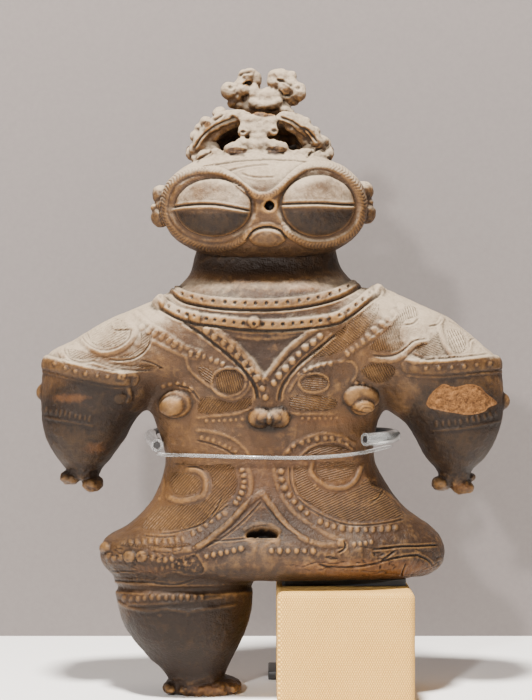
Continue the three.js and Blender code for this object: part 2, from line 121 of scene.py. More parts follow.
def loft(slices, roundness, sides=72, steps=6):
    """A mass lofted upwards through slices of height, left, right, half depth and middle depth."""
    rows = [row if len(row) == 5 else (*row, 0) for row in slices]
    turn = np.linspace(0, 2 * math.pi, sides, endpoint=False)
    across, deep = (power(f(turn), 2 / roundness) for f in (np.cos, np.sin))
    rings = []
    for z, left, right, half, middle in spline(rows[::-1], steps):
        ring = [(left + right) / 2 + (right - left) / 2 * across, middle + half * deep, np.full(sides, z)]
        rings.append(place(np.stack(ring, 1)))
    return skin_of(rings)


def ball(middle, reach, sides=20):
    """An ellipsoid of clay, in thousandths of the height."""
    turn = np.linspace(0, 2 * math.pi, sides, endpoint=False)
    rings = []
    for rise in np.linspace(-math.pi / 2, math.pi / 2, sides // 2 + 1)[1:-1]:
        round_it = np.stack([np.cos(turn) * math.cos(rise), np.sin(turn) * math.cos(rise),
                             np.full(sides, math.sin(rise))], 1)
        rings.append(place(np.asarray(middle) + np.asarray(reach) * round_it))
    return skin_of(rings)


def rod(route, radii, sides=16, steps=8, rounded=True):
    """A rod of clay or metal along a smooth route in metres, with a radius at each of its points."""
    line = spline(np.column_stack([route, radii]), steps)
    centres, radii = line[:, :3], line[:, 3].copy()
    if rounded:
        near_end = np.minimum(np.arange(len(line)), np.arange(len(line))[::-1]) / (steps * 0.5)
        radii *= np.sqrt(1 - (1 - np.clip(near_end + 0.08, 0, 1)) ** 2)
    ways = np.gradient(centres, axis=0)
    ways /= np.linalg.norm(ways, axis=1)[:, None]
    side = np.cross(ways[0], (0.31, 0.17, 0.93))
    turn = np.linspace(0, 2 * math.pi, sides, endpoint=False)[:, None]
    rings = []
    for centre, way, radius in zip(centres, ways, radii):
        side = side - way * (side @ way)
        side /= np.linalg.norm(side)
        rings.append(centre + radius * (np.cos(turn) * side + np.sin(turn) * np.cross(way, side)))
    return skin_of(rings)


def new_object(name, points, faces):
    mesh = bpy.data.meshes.new(name)
    mesh.from_pydata([tuple(point) for point in points], [], faces)
    mesh.update()
    piece = bpy.data.objects.new(name, mesh)
    bpy.context.scene.collection.objects.link(piece)
    return piece


def joined(name, skins):
    """One object from several closed skins."""
    points, faces, start = [], [], 0
    for skin, skin_faces in skins:
        points.append(skin)
        faces += [tuple(int(corner) + start for corner in face) for face in skin_faces]
        start += len(skin)
    return new_object(name, np.vstack(points), faces)


def with_modifier(piece, kind, **settings):
    """The piece after one modifier, in place of the piece."""
    modifier = piece.modifiers.new(kind, kind)
    for key, value in settings.items():
        setattr(modifier, key, value)
    shape = bpy.data.meshes.new_from_object(piece.evaluated_get(bpy.context.evaluated_depsgraph_get()))
    old = piece.data
    piece.modifiers.clear()
    piece.data = shape
    bpy.data.meshes.remove(old)
    return piece


def fused(piece, grain):
    """One closed skin round all of the piece's overlapping masses."""
    return with_modifier(piece, "REMESH", mode="VOXEL", voxel_size=grain)


def points_of(mesh):
    points = np.empty(len(mesh.vertices) * 3)
    mesh.vertices.foreach_get("co", points)
    return points.reshape(-1, 3)


def normals_of(mesh):
    normals = np.empty(len(mesh.vertices) * 3, np.float32)
    mesh.vertex_normals.foreach_get("vector", normals)
    return normals.reshape(-1, 3).astype(float)


def set_points(mesh, points):
    mesh.vertices.foreach_set("co", points.ravel())
    mesh.update()


def edges_of(mesh):
    edges = np.empty(len(mesh.edges) * 2, np.int32)
    mesh.edges.foreach_get("vertices", edges)
    return edges.reshape(-1, 2)


def averaged(values, edges, times):
    """Values at the points of a mesh, evened out with their neighbours'."""
    values = np.array(values, float)
    flat = values.reshape(len(values), -1)
    count = np.maximum(np.bincount(edges.ravel(), minlength=len(flat)), 1)
    for _ in range(times):
        for column in flat.T:
            total = np.bincount(edges[:, 0], column[edges[:, 1]], len(column))
            total += np.bincount(edges[:, 1], column[edges[:, 0]], len(column))
            column += 0.5 * (total / count - column)
    return values


# The masses of the figure: height, left, right, half depth and middle depth, in thousandths of its height.
TRUNK = [
    (742, -110, 100, 54), (690, -123, 110, 62), (668, -130, 122, 73), (646, -149, 145, 95),
    (615, -180, 177, 110), (580, -196, 193, 113), (531, -204, 199, 111), (483, -201, 196, 108),
    (428, -183, 172, 96), (377, -168, 167, 91), (335, -176, 186, 96), (297, -197, 215, 108),
    (268, -228, 254, 121), (244, -267, 277, 135), (216, -273, 280, 137), (201, -266, 274, 129),
    (188.5, -251, 258, 104),
]
LEFT_ARM = [
    (641, -164, -45, 26), (624, -193, -38, 67), (596, -260, -50, 88), (563, -315, -72, 96),
    (541, -357, -98, 96), (506, -365, -142, 94), (461, -367, -190, 86), (437, -365, -215, 80),
    (406, -359, -232, 73), (375, -342, -254, 54), (354, -325, -273, 32), (338, -321, -277, 26),
]
RIGHT_ARM = [
    (646, 60, 186, 26), (621, 50, 239, 70), (596, 56, 291, 88), (554, 80, 342, 96), (533, 102, 365, 96),
    (493, 148, 374, 92), (454, 186, 374, 85), (433, 215, 371, 79), (403, 235, 361, 72),
    (372, 252, 343, 53), (358, 266, 326, 40), (342, 271, 320, 30), (328, 275, 317, 26),
]
YOKE = [
    (650, -118, 128, 70), (634, -160, 186, 93), (615, -214, 244, 103), (594, -255, 285, 106),
    (568, -302, 322, 107), (538, -344, 352, 105), (508, -354, 364, 95), (482, -348, 358, 66),
    (466, -340, 350, 30),
]
LEG = [
    (205, -238, -39, 99), (178, -249, -27, 107), (146, -245, -28, 108), (117, -238, -32, 104),
    (88, -221, -43, 94), (59, -197, -58, 75), (33, -169, -71, 53, -6), (16, -160, -75, 48, -9),
]
FOOT = [(25, -156, -72, 40, -6), (18, -166, -50, 48, -6), (9, -168, -46, 50, -5), (0, -163, -50, 47, -5)]
BODY_ROUNDNESS = 2.3

HEAD_MIDDLE = (-9, -16, 776)
HEAD_REACH = (163, 104, 86)
HEAD_ROUNDNESS = 2.4
FACE_FLATNESS = 3.2

# Lumps of clay put on the masses: place, then half sizes, in thousandths of the height.
ARM_KNOBS = [((-363, -14, 480), (11, 12, 13)), ((371, -14, 466), (13, 13, 14))]
HANDS = [
    ((-319, -6, 343), (17, 23, 12)), ((-284, -9, 333), (18, 22, 13)),
    ((274, -6, 334), (16, 24, 12)), ((309, -9, 328), (18, 22, 12)), ((318, 6, 343), (12, 18, 8)),
]
TOES = [
    ((-158, -26, 10), (13, 24, 10)), ((-135, -34, 11), (14, 22, 11)), ((-108, -38, 11), (15, 20, 11)),
    ((-81, -36, 12), (14, 22, 12)), ((-60, -24, 10), (13, 24, 10)),
]


def head_mass(sides=96, levels=48):
    """The wide flat head: a squared ellipsoid with a flatter face."""
    turn = np.linspace(0, 2 * math.pi, sides, endpoint=False)
    rings = []
    for rise in np.cos(np.linspace(math.pi, 0, levels + 1)[1:-1]):
        wide = (1 - abs(rise) ** HEAD_ROUNDNESS) ** (1 / HEAD_ROUNDNESS)
        across = wide * np.cos(turn)
        left_over = 1 - np.abs(across) ** HEAD_ROUNDNESS - abs(rise) ** HEAD_ROUNDNESS
        deep = np.sign(np.sin(turn)) * np.maximum(left_over, 0) ** (1 / FACE_FLATNESS)
        shape = np.stack([across, deep, np.full(sides, rise)], 1)
        rings.append(place(np.asarray(HEAD_MIDDLE) + np.asarray(HEAD_REACH) * shape))
    return skin_of(rings)


# Carving, drawn in pixels of the photograph and raised in millimetres along the skin.

# How much the skin has to face the front, or the back, to get that side's carving.
FACING = (0.12, 0.4)
# The leg is left of this pixel and below that one.
LEG_RIGHT, LEG_TOP = 258, 570
# The rows of cord marks are this many pixels apart, with marks this long, and sunk by these millimetres.
ROW_PITCH, MARK_LENGTH, FIELD_SINK = 2.3, 6.0, 0.15
# Cracks run this many times further across than down, in noise this near to nought.
CRACK_STRETCH, CRACK_WIDTH = 4.0, 0.05


class Carving:
    """A skin with the places of its points in the photograph and how far the carving raises each.

    Carving goes where the skin faces the front or the back, all round, or on the leg.
    """

    def __init__(self, mesh):
        points = points_of(mesh)
        self.points = points
        self.across, self.down = in_photo(points)
        self.depth = (AXIS[1] - points[:, 1]) / SHARE
        normals = averaged(normals_of(mesh), edges_of(mesh), 4)
        self.front = soft_step(-normals[:, 1], *FACING)
        self.back = soft_step(normals[:, 1], *FACING)
        self.round = np.ones(len(points))
        self.leg = ((self.across < LEG_RIGHT) & (self.down > LEG_TOP)).astype(float)
        self.raised = np.zeros(len(points))
        self.dark = np.zeros(len(points))
        self.bare = np.zeros(len(points))
        self.stain = np.zeros(len(points))
        self.pale = np.zeros(len(points))
        self.smoke_and_shade = np.zeros(len(points))
        self.weave = np.zeros((len(points), 3))

    def near(self, route, reach, steps=5):
        """The points near a route, how far each is from it and along it, and the route's length."""
        line = spline(route, steps)
        low, high = line.min(0) - reach, line.max(0) + reach
        near = np.flatnonzero((self.across > low[0]) & (self.across < high[0])
                              & (self.down > low[1]) & (self.down < high[1]))
        x, y = self.across[near], self.down[near]
        best = np.full(len(near), np.inf)
        along = np.zeros(len(near))
        start = 0.0
        for (ax, ay), (bx, by) in zip(line[:-1], line[1:]):
            length = math.hypot(bx - ax, by - ay)
            share = np.clip(((x - ax) * (bx - ax) + (y - ay) * (by - ay)) / length ** 2, 0, 1)
            gap = np.hypot(x - ax - share * (bx - ax), y - ay - share * (by - ay))
            better = gap < best
            best = np.where(better, gap, best)
            along = np.where(better, start + share * length, along)
            start += length
        close = best < reach
        return near[close], best[close], along[close], start

    def add(self, near, amount, where):
        self.raised[near] += amount * getattr(self, where)[near]

    def darken(self, amount, near=slice(None)):
        """Shade in a cut or a hollow, where it isn't darker already."""
        self.dark[near] = np.maximum(self.dark[near], amount)

    def ridge(self, route, half, height, where="front", fall=0.6):
        """A raised line, or a cut one where the height is below nought."""
        near, gap, along, length = self.near(route, half)
        ends = soft_step(np.minimum(along, length - along), -0.5, half)
        self.add(near, height * (1 - (gap / half) ** 2) ** fall * (0.35 + 0.65 * ends), where)

    def line(self, route, half=1.0, depth=0.5):
        """A line cut with a point: a narrow groove with a low lip on each side."""
        near, gap, along, length = self.near(route, half * 2.6)
        ends = soft_step(np.minimum(along, length - along), -0.5, 3)
        lip = np.exp(-((gap - half * 1.7) / (half * 0.6)) ** 2) * 0.4
        cut = np.exp(-(gap / (half * 0.75)) ** 2)
        self.add(near, depth * (lip - cut) * ends, "front")
        self.darken(min(depth, 1) * cut * ends * self.front[near], near)

    def row(self, route, pitch, length, width, height, where="front"):
        """A row of pellets, or of pits where the height is below nought."""
        near, gap, along, total = self.near(route, width + 1)
        count = max(round(total / pitch), 1)
        step = total / count
        number = np.clip((along / step).astype(int), 0, count - 1)
        chance = np.random.default_rng(round(total * 10))
        shift, grow = chance.uniform(-0.1, 0.1, count), chance.uniform(0.86, 1.12, count)
        off = (along - (number + 0.5 + shift[number]) * step) / (length * grow[number])
        share = np.clip(1 - off ** 2 - (gap / (width * grow[number])) ** 2, 0, 1)
        self.add(near, height * grow[number] * share ** 0.6, where)
        if height < 0:
            self.darken(share ** 0.5, near)

    def notched(self, route, pitch, half, depth, slant):
        """Slanting notches cut across a ridge."""
        near, gap, along, _ = self.near(route, half)
        wave = 0.5 + 0.5 * np.cos(2 * math.pi * (along + slant * gap) / pitch)
        self.add(near, -depth * wave ** 2 * (1 - (gap / half) ** 2), "front")

    def dome(self, middle, reach, height):
        """A round knob, or a hollow where the height is below nought."""
        share = self.spread(middle, reach)
        inside = np.flatnonzero(share < 1)
        self.add(inside, height * (1 - share[inside] ** 2) ** 0.5, "front")

    def spread(self, middle, reach):
        """How far the points are from an oval's middle, where 1 is its edge."""
        return np.hypot((self.across - middle[0]) / reach[0], (self.down - middle[1]) / reach[1])

    def patch(self, middle, reach, full, gone):
        """An oval patch: 1 as far as one share of its size, and nought from another."""
        return 1 - soft_step(self.spread(middle, reach), full, gone)

    def inside(self, outline, steps=4):
        """How deep the points lie inside a closed outline, in pixels, and nought outside it."""
        outline = [*outline, outline[0]]
        line = spline(outline, steps)
        near, gap, _, _ = self.near(outline, 60, steps)
        x, y = self.across[near], self.down[near]
        crossings = np.zeros(len(near), int)
        for (ax, ay), (bx, by) in zip(line[:-1], line[1:]):
            if ay == by:
                continue
            passes = (ay > y) != (by > y)
            crossings += passes & (x < (bx - ax) * (y - ay) / (by - ay) + ax)
        depth = np.zeros(len(self.across))
        depth[near] = np.where(crossings % 2 == 1, gap, 0)
        return depth

    def lumps(self, amount, size, seed, stretch=1.0):
        """Where there is an amount, and smooth noise there with lumps of a size in metres, longer across."""
        amount = np.broadcast_to(amount, self.raised.shape)
        worth = np.flatnonzero(amount > 0.01)
        spots = self.points[worth] / (size * np.array([stretch, stretch, 1])) + seed
        value = np.array([noise.fractal(spot, 0.9, 2.1, 3) for spot in spots.tolist()])
        return worth, amount[worth], value

    def rough(self, amount, size, seed=0.0):
        """Rough clay, up to an amount at each point."""
        worth, amount, value = self.lumps(amount, size, seed)
        self.raised[worth] += amount * value

    def crackle(self, amount, size, seed):
        """Thin wandering cracks, up to an amount deep at each point."""
        worth, amount, value = self.lumps(amount, size, seed, CRACK_STRETCH)
        cut = np.exp(-(value / CRACK_WIDTH) ** 2)
        self.raised[worth] -= amount * cut
        self.darken(np.minimum(amount, 1) * cut, worth)

    def field(self, outline, lean):
        """A field of cord marks, sunk a little, with rows that lean by so many degrees."""
        share = soft_step(self.inside(outline), 0.3, 2.2) * self.front
        self.raised -= FIELD_SINK * share
        turn = math.radians(lean)
        marked = share > 0.02
        x, y = self.across[marked], self.down[marked]
        self.weave[marked, 0] = (x * math.cos(turn) + y * math.sin(turn)) / MARK_LENGTH
        self.weave[marked, 1] = (y * math.cos(turn) - x * math.sin(turn)) / ROW_PITCH
        self.weave[marked, 2] = share[marked]


def ring(middle, reach):
    """A closed route round an oval."""
    turn = np.linspace(0, 2 * math.pi, 13)
    return np.stack([middle[0] + reach[0] * np.cos(turn), middle[1] + reach[1] * np.sin(turn)], 1)


# The two collars, and the knobs on them: place, half sizes and height.
COLLAR_UPPER = [(171, 286), (180, 294), (195, 299), (220, 302.5), (250, 304), (280, 303.5), (310, 300),
                (335, 294), (352, 286), (362, 280)]
COLLAR_LOWER = [(158, 301), (175, 311), (195, 317.5), (215, 320), (245, 323.5), (275, 324.5), (300, 323),
                (325, 320), (340, 316), (356, 306), (370, 295), (382, 287)]
COLLAR_KNOBS = [((160, 303), (8, 7), 3.4), ((196, 318), (6.5, 7), 2.4), ((254, 322), (6.5, 5.5), 2.2),
                ((336, 318), (9, 6), 2.6), ((379, 291), (6, 6), 2.0)]
# The pellets of the straps, their raised middles and their cut edges.
STRAP_LEFT = [(203, 328), (214, 336), (226, 344), (240, 358), (252, 372), (261, 385), (267, 402)]
STRAP_RIGHT = [(324, 333), (314, 342), (303, 350), (291, 363), (279, 376), (271, 388)]
STRAP_RIDGES = [
    [(214, 329), (232, 342), (247, 358), (258, 372), (265, 381)],
    [(318, 327), (303, 338), (288, 351), (276, 364), (265, 381)],
]
STRAP_EDGES = [
    [(182, 322), (200, 333), (222, 350), (240, 366), (254, 384), (258, 400)],
    [(336, 334), (318, 349), (302, 362), (289, 376), (281, 390), (279, 402)],
]
BREASTPLATE = [(222, 333), (244, 337), (270, 338), (300, 334), (312, 331), (292, 346), (266, 376),
               (250, 359)]

# Smooth raised lines of clay: route, half width, height.
RIDGES = [
    ([(131, 308), (141, 317), (150, 325), (166, 334), (185, 347), (203, 353)], 3.0, 0.55),
    ([(152, 341), (168, 349), (186, 357), (199, 358)], 2.4, 0.45),
    ([(81, 333), (84, 341), (93, 349), (106, 353), (119, 350), (130, 342), (135, 332), (132, 325)],
     3.4, 0.7),
    ([(60, 349), (66, 358), (80, 364), (98, 366), (120, 371), (137, 373)], 4.0, 0.8),
    ([(113, 322), (114, 330), (117, 333)], 1.8, 0.4),
    ([(60, 345), (68, 341), (76, 343)], 2.0, 0.45),
    ([(371, 360), (388, 361), (400, 358), (408, 351), (416, 344), (428, 341)], 3.0, 0.75),
    ([(444, 316), (440, 323), (441, 334), (445, 345), (449, 352), (454, 358)], 3.2, 0.9),
    ([(404, 357), (416, 361), (440, 360), (470, 358), (492, 355)], 3.4, 0.7),
    ([(470, 351), (470, 344), (474, 341), (480, 345), (487, 352)], 2.0, 0.5),
    ([(340, 362), (352, 352), (366, 343), (380, 333), (394, 320), (408, 306)], 2.2, 0.4),
    ([(186, 358), (190, 370), (206, 384), (224, 397), (238, 398), (249, 388), (250, 376), (243, 367)],
     2.0, 0.5),
    ([(289, 391), (298, 378), (315, 367), (335, 362), (352, 362), (357, 372), (352, 382)], 1.8, 0.45),
    ([(197, 418), (215, 416), (235, 414), (252, 408)], 1.7, 0.45),
    ([(286, 411), (297, 414), (315, 414), (334, 414)], 1.7, 0.45),
    ([(197, 430), (214, 432), (230, 437), (242, 446), (250, 456)], 2.0, 0.5),
    ([(283, 456), (290, 447), (304, 439), (322, 434), (340, 436), (354, 444)], 2.4, 0.5),
    ([(299, 457), (310, 447), (326, 442), (342, 443), (353, 450)], 1.6, 0.45),
    ([(188, 470), (198, 471), (205, 478), (206, 488), (202, 496), (190, 500), (178, 501), (168, 497)],
     3.2, 0.85),
    ([(313, 462), (311, 472), (318, 481), (331, 488), (345, 488), (356, 480), (362, 465)], 2.7, 0.8),
    ([(372, 486), (384, 491), (394, 499), (402, 508)], 1.8, 0.45),
    ([(161, 465), (164, 485), (159, 500)], 1.6, 0.4),
    ([(247, 467), (251, 482), (247, 500), (234, 519), (214, 537), (196, 548), (172, 552)], 3.4, 0.75),
    ([(274, 467), (277, 483), (284, 500), (297, 515), (315, 528), (330, 536), (342, 540)], 3.0, 0.6),
    ([(262, 493), (251, 501), (239, 513), (226, 526), (210, 539), (196, 549)], 3.6, 1.0),
    ([(262, 493), (271, 505), (283, 521), (296, 534), (310, 542)], 3.6, 1.0),
    ([(309, 541), (322, 545), (336, 545), (344, 542)], 3.4, 0.8),
    ([(116, 572), (130, 572), (137, 576), (137, 582)], 1.3, 0.4),
    ([(127, 604), (150, 604), (178, 603), (200, 600), (222, 597)], 2.0, 0.5),
    ([(117, 601), (130, 608), (150, 611), (168, 609), (186, 612), (205, 609), (236, 605)], 2.2, 0.6),
    ([(45, 417), (65, 421), (93, 426)], 1.6, 0.4),
    ([(432, 431), (465, 428), (500, 421)], 1.6, 0.4),
    ([(128, 388), (130, 396), (127, 404)], 2.6, 0.9),
]

# Lines cut with a point.
LINES = [
    [(81, 334), (86, 342), (96, 348.5), (107, 350.5), (119, 347), (129, 339), (131, 330)],
    [(64, 348), (66, 354), (73, 360), (84, 362.5), (96, 361)],
    [(108, 360), (122, 360.5), (134, 358.5), (144, 352), (150, 343), (151, 335)],
    [(92, 361), (108, 366), (122, 369), (140, 370.5), (152, 370)],
    [(141, 360), (152, 363), (164, 369)],
    [(112, 330), (122, 330), (131, 330)],
    [(372, 355), (384, 356.5), (396, 354.5), (406, 348.5), (414, 341.5), (428, 339)],
    [(404, 325), (413, 323.5), (419, 318)],
    [(428, 326.5), (437, 324.5), (442, 320)],
    [(412, 354), (424, 359), (440, 358.5), (462, 357), (488, 354)],
    [(469, 349), (470, 341), (475, 339), (481, 344), (488, 351)],
    [(448, 320), (460, 327), (470, 335)],
    [(175, 385), (190, 389), (199, 400)],
    [(196, 440), (212, 444), (226, 450), (238, 458)],
    [(186, 467), (196, 467), (205, 471)],
    [(142, 535), (160, 537), (176, 536)],
    [(160, 534), (175, 532), (195, 527), (208, 520), (217, 507), (222, 497)],
    [(229, 505), (217, 514), (206, 524)],
    [(290, 466), (291, 484), (299, 500), (315, 512), (336, 522), (358, 525.5), (384, 523.5), (404, 519)],
    [(296, 494), (304, 500), (310, 503)],
    [(369, 504), (379, 497), (383, 489)],
    [(109, 579), (126, 581), (150, 582), (175, 584.5), (196, 579)],
    [(262, 501), (252, 512), (240, 524), (222, 538), (205, 547)],
    [(264, 503), (272, 514), (284, 527), (298, 538)],
    [(214, 541), (232, 540), (248, 538)],
    [(110, 571), (140, 571)],
]

# Deeper lines where the clay has cracked or two forms meet.
CRACKS = [
    [(318, 564), (330, 567), (350, 567), (372, 564.5), (390, 559), (406, 556), (420, 555)],
    [(381, 561), (388, 556), (396, 550)],
    [(381, 564), (380, 570)],
    [(407, 563), (403, 570), (401, 577)],
    [(372, 549.5), (388, 548), (402, 546.5), (420, 546), (438, 545)],
    [(418, 555), (428, 560), (433, 566)],
    [(344, 541), (345, 548), (338, 553)],
]

# Rows of pellets: route, pitch, half length, half width, height.
PELLETS = [
    (STRAP_LEFT, 10.5, 3.9, 3.8, 1.3),
    (STRAP_RIGHT, 10.0, 3.8, 3.6, 1.3),
    ([(139, 326), (150, 331), (162, 337), (174, 344), (184, 351)], 7.2, 2.9, 4.0, 0.75),
    ([(188, 353), (200, 355.5), (212, 360), (226, 366)], 6.5, 2.6, 3.2, 0.8),
    ([(404, 303), (396, 311), (386, 321), (376, 330), (365, 340)], 8.6, 3.5, 4.6, 0.75),
    ([(365, 340), (354, 348), (344, 356)], 7.0, 2.8, 3.4, 0.75),
    ([(296, 376), (306, 370), (320, 366), (334, 364)], 7.0, 2.4, 2.4, 0.7),
    ([(204, 420.5), (222, 420.5), (245, 419)], 6.0, 2.0, 2.0, 0.6),
    ([(300, 418), (320, 418.5), (340, 418)], 6.0, 2.0, 2.0, 0.6),
    ([(286, 454), (294, 446), (308, 441), (324, 438), (340, 440), (350, 446)], 8.0, 2.9, 2.6, 0.9),
    ([(199, 437), (212, 440), (226, 446), (238, 453)], 6.2, 2.2, 2.2, 0.55),
    ([(241, 467), (244, 477), (243.5, 487), (240, 497), (234, 506)], 6.2, 2.8, 3.4, 1.1),
    ([(228, 512), (216, 519), (203, 528), (190, 535)], 8.0, 3.0, 2.8, 0.6),
    ([(186, 539), (165, 541), (145, 541), (128, 543)], 6.6, 2.4, 3.4, 0.6),
    ([(281, 467), (281, 477), (284, 487), (290, 497), (299, 507), (310, 516)], 8.2, 3.2, 3.4, 1.2),
    ([(316, 520), (330, 526), (348, 529), (366, 530), (388, 529), (400, 527)], 7.6, 3.2, 3.4, 0.95),
    ([(203, 557), (218, 554), (232, 551), (244, 548)], 7.4, 3.1, 3.2, 1.2),
    ([(267, 551), (290, 551), (318, 551)], 8.2, 3.1, 3.2, 1.2),
    ([(351, 545), (362, 544), (374, 542)], 6.4, 2.6, 2.8, 1.0),
    ([(104, 554), (113, 558), (124, 557)], 8.0, 3.3, 4.0, 0.9),
    ([(149, 557), (164, 560), (176, 558)], 7.0, 2.8, 3.4, 0.9),
    ([(154, 570), (170, 566), (180, 562)], 6.0, 2.4, 2.6, 0.6),
    ([(120, 598), (134, 599), (150, 598), (180, 598), (206, 596)], 7.0, 2.7, 3.6, 0.9),
    ([(52, 362), (71, 369.5), (93, 375), (124, 377)], 11.2, 2.2, 2.2, 0.8),
    ([(420, 368), (450, 367.5), (475, 365.5), (494, 364)], 12.0, 2.2, 2.4, 0.8),
    ([(352, 384), (362, 383), (373, 387)], 8.0, 2.6, 2.4, 0.8),
    ([(160, 388), (170, 384), (184, 384), (194, 392)], 8.0, 2.6, 2.4, 0.7),
    ([(44, 410), (60, 413), (92, 419)], 5.0, 1.7, 4.0, 0.55),
    ([(434, 424), (466, 421), (499, 413)], 6.0, 2.1, 3.6, 0.6),
    ([(415, 357), (428, 362), (440, 358)], 6.0, 2.0, 1.8, 0.5),
]

# Knobs: place, half sizes and height.
KNOBS = [
    ((176, 404), (16, 13.5), 4.5), ((176, 404), (11, 9.5), 5.0),
    ((361, 397), (18, 12), 4.5), ((360, 406), (10, 8.5), 4.6),
    ((260, 418), (12, 10), 4.6), ((278, 418), (12, 10), 4.6), ((269, 416), (12, 7), 1.6),
    ((130, 556.5), (6.2, 6.0), 2.6), ((142, 556.5), (6.0, 6.0), 2.6), ((104, 547), (6, 6), 2.4),
    ((121, 399), (8, 6), 1.2), ((122, 375), (4, 4.5), 1.1), ((341, 543), (5, 4.5), 0.9),
    ((315, 486), (2.4, 1.8), 0.6), ((317, 489), (2.2, 1.8), 0.5),
    ((160, 615), (3.2, 2.2), 0.5), ((188, 615), (2.8, 2.2), 0.5),
]

# Fields of cord marks: outline and the lean of the rows.
FIELDS = [
    ([(84, 330), (90, 323), (100, 318), (112, 317), (126, 322), (129, 333), (121, 344), (107, 348),
      (94, 345)], -28),
    ([(66, 348), (80, 350), (92, 355), (110, 357), (96, 360), (80, 360), (70, 357)], -28),
    ([(100, 359), (126, 354), (140, 344), (140, 332), (149, 334), (149, 345), (139, 356), (122, 359)], -35),
    ([(104, 362), (128, 364), (150, 364), (165, 369), (140, 369), (116, 366)], -20),
    ([(376, 352), (368, 346), (386, 330), (402, 308), (414, 306), (418, 316), (404, 322), (400, 336),
      (405, 345), (396, 352)], 72),
    ([(412, 350), (420, 343), (430, 340), (438, 330), (440, 340), (444, 350), (438, 356), (424, 356)], 25),
    ([(446, 330), (452, 328), (464, 334), (466, 350), (456, 354), (449, 346)], 65),
    ([(302, 360), (320, 345), (345, 325), (368, 306), (380, 305), (372, 326), (350, 346), (330, 356)], 38),
    ([(196, 366), (212, 368), (214, 384), (203, 380)], 35),
    ([(214, 382), (218, 372), (229, 369), (240, 372), (245, 382), (240, 392), (229, 395), (218, 391)], 75),
    ([(300, 384), (308, 376), (320, 374), (328, 379), (326, 388), (314, 391), (304, 390)], 5),
    ([(200, 396), (216, 398), (232, 402), (250, 396), (252, 405), (240, 411), (200, 414)], -55),
    ([(288, 398), (300, 394), (330, 396), (338, 404), (330, 411), (300, 411), (289, 406)], 12),
    ([(370, 362), (384, 362), (396, 368), (392, 378), (378, 384), (366, 378), (360, 370)], 65),
    ([(168, 480), (176, 472), (192, 474), (201, 480), (201, 490), (190, 495), (174, 494)], -48),
    ([(166, 465), (182, 462), (204, 465), (230, 464), (237, 476), (237, 490), (228, 502), (214, 516),
      (196, 527), (166, 531), (142, 528), (150, 512), (172, 505), (196, 503), (210, 494), (211, 478),
      (200, 467)], -47),
    ([(318, 462), (340, 461), (356, 463), (354, 474), (342, 481), (326, 481), (316, 473)], -15),
    ([(293, 466), (308, 466), (309, 478), (322, 489), (342, 493), (358, 486), (366, 478), (382, 490),
      (398, 506), (404, 517), (384, 520), (358, 522), (336, 518), (316, 508), (300, 496), (294, 482)], -25),
    ([(302, 454), (316, 446), (336, 444), (350, 451), (334, 453), (318, 456)], -20),
    ([(120, 541), (150, 545), (190, 543), (184, 547), (150, 549), (120, 546)], -60),
]

# The hems of the sleeves.
HEM_LEFT = [(40, 361), (52, 364), (70, 369), (90, 374), (112, 378), (132, 379)]
HEM_RIGHT = [(408, 366), (430, 367.5), (455, 366.5), (480, 364), (504, 362)]

# The hole in the belly, the lip above it, and the chip that is missing from the hip.
BELLY_HOLE = ((262, 535), (16.5, 7))
BELLY_HOLE_LOWEST = 537.5
BELLY_LIP = [(243, 531), (253, 525.5), (264, 523.5), (274, 526.5), (282, 533)]
CHIP = [(177, 559), (186, 556), (195, 554), (201, 561), (205, 570), (201, 575), (190, 576), (180, 573),
        (173, 568)]


# Rings round the breasts, and two circles cut in the knob at the right: middle and half sizes.
BREAST_RINGS = [((229, 382), (17.5, 14)), ((314, 383), (15, 9.5))]
KNOB_CIRCLES = [((360, 406), (7.5, 6)), ((360, 406), (4.5, 3.6))]
LEG_CREASE = [(108, 586), (130, 589), (170, 590), (215, 590), (255, 587)]


def carve_front(skin):
    """The carving of the chest, arms, belly and hip."""
    plate = soft_step(skin.inside(BREASTPLATE), 0.5, 5)
    skin.raised -= 0.9 * plate * skin.front
    for route, half, height in RIDGES:
        skin.ridge(route, half, height)
    for route in STRAP_RIDGES:
        skin.ridge(route, 3.8, 1.1)
    for route in (STRAP_LEFT, STRAP_RIGHT):
        skin.ridge(route, 6.0, 0.6)
    for route in STRAP_EDGES:
        skin.line(route, 1.6, 0.8)
    for outline, lean in FIELDS:
        skin.field(outline, lean)
    for route in LINES:
        skin.line(route)
    for route in CRACKS:
        skin.line(route, 1.1, 0.9)
    for sizes in PELLETS:
        skin.row(*sizes)
    for sizes in KNOBS + COLLAR_KNOBS:
        skin.dome(*sizes)
    carve_belly_hole(skin)
    worn_away = soft_step(skin.inside(ORANGE_PATCH), 0.5, 3.0) * skin.front
    skin.raised -= 0.5 * worn_away
    skin.rough(0.5 * worn_away, 0.004, 7.0)
    chip = soft_step(skin.inside(CHIP), 0.2, 2.5) * skin.front
    skin.raised -= 1.0 * chip
    skin.rough(0.9 * chip, 0.003, 2.0)
    for sizes in BREAST_RINGS:
        skin.ridge(ring(*sizes), 1.7, 0.5)
    for sizes in KNOB_CIRCLES:
        skin.line(ring(*sizes), 0.8, 0.4)


def carve_belly_hole(skin):
    """A hole 9 mm deep with a flat lower edge, shade round it and a lip above it."""
    skin.ridge(BELLY_LIP, 2.4, 0.5)
    share = skin.spread(*BELLY_HOLE)
    opened = soft_step(-share, -1.0, -0.72) * (skin.down < BELLY_HOLE_LOWEST) * skin.front
    skin.raised -= 9 * opened
    around = skin.patch(*BELLY_HOLE, 1.05, 1.4)
    skin.darken(np.maximum(1.6 * opened, 0.8 * around * skin.front))


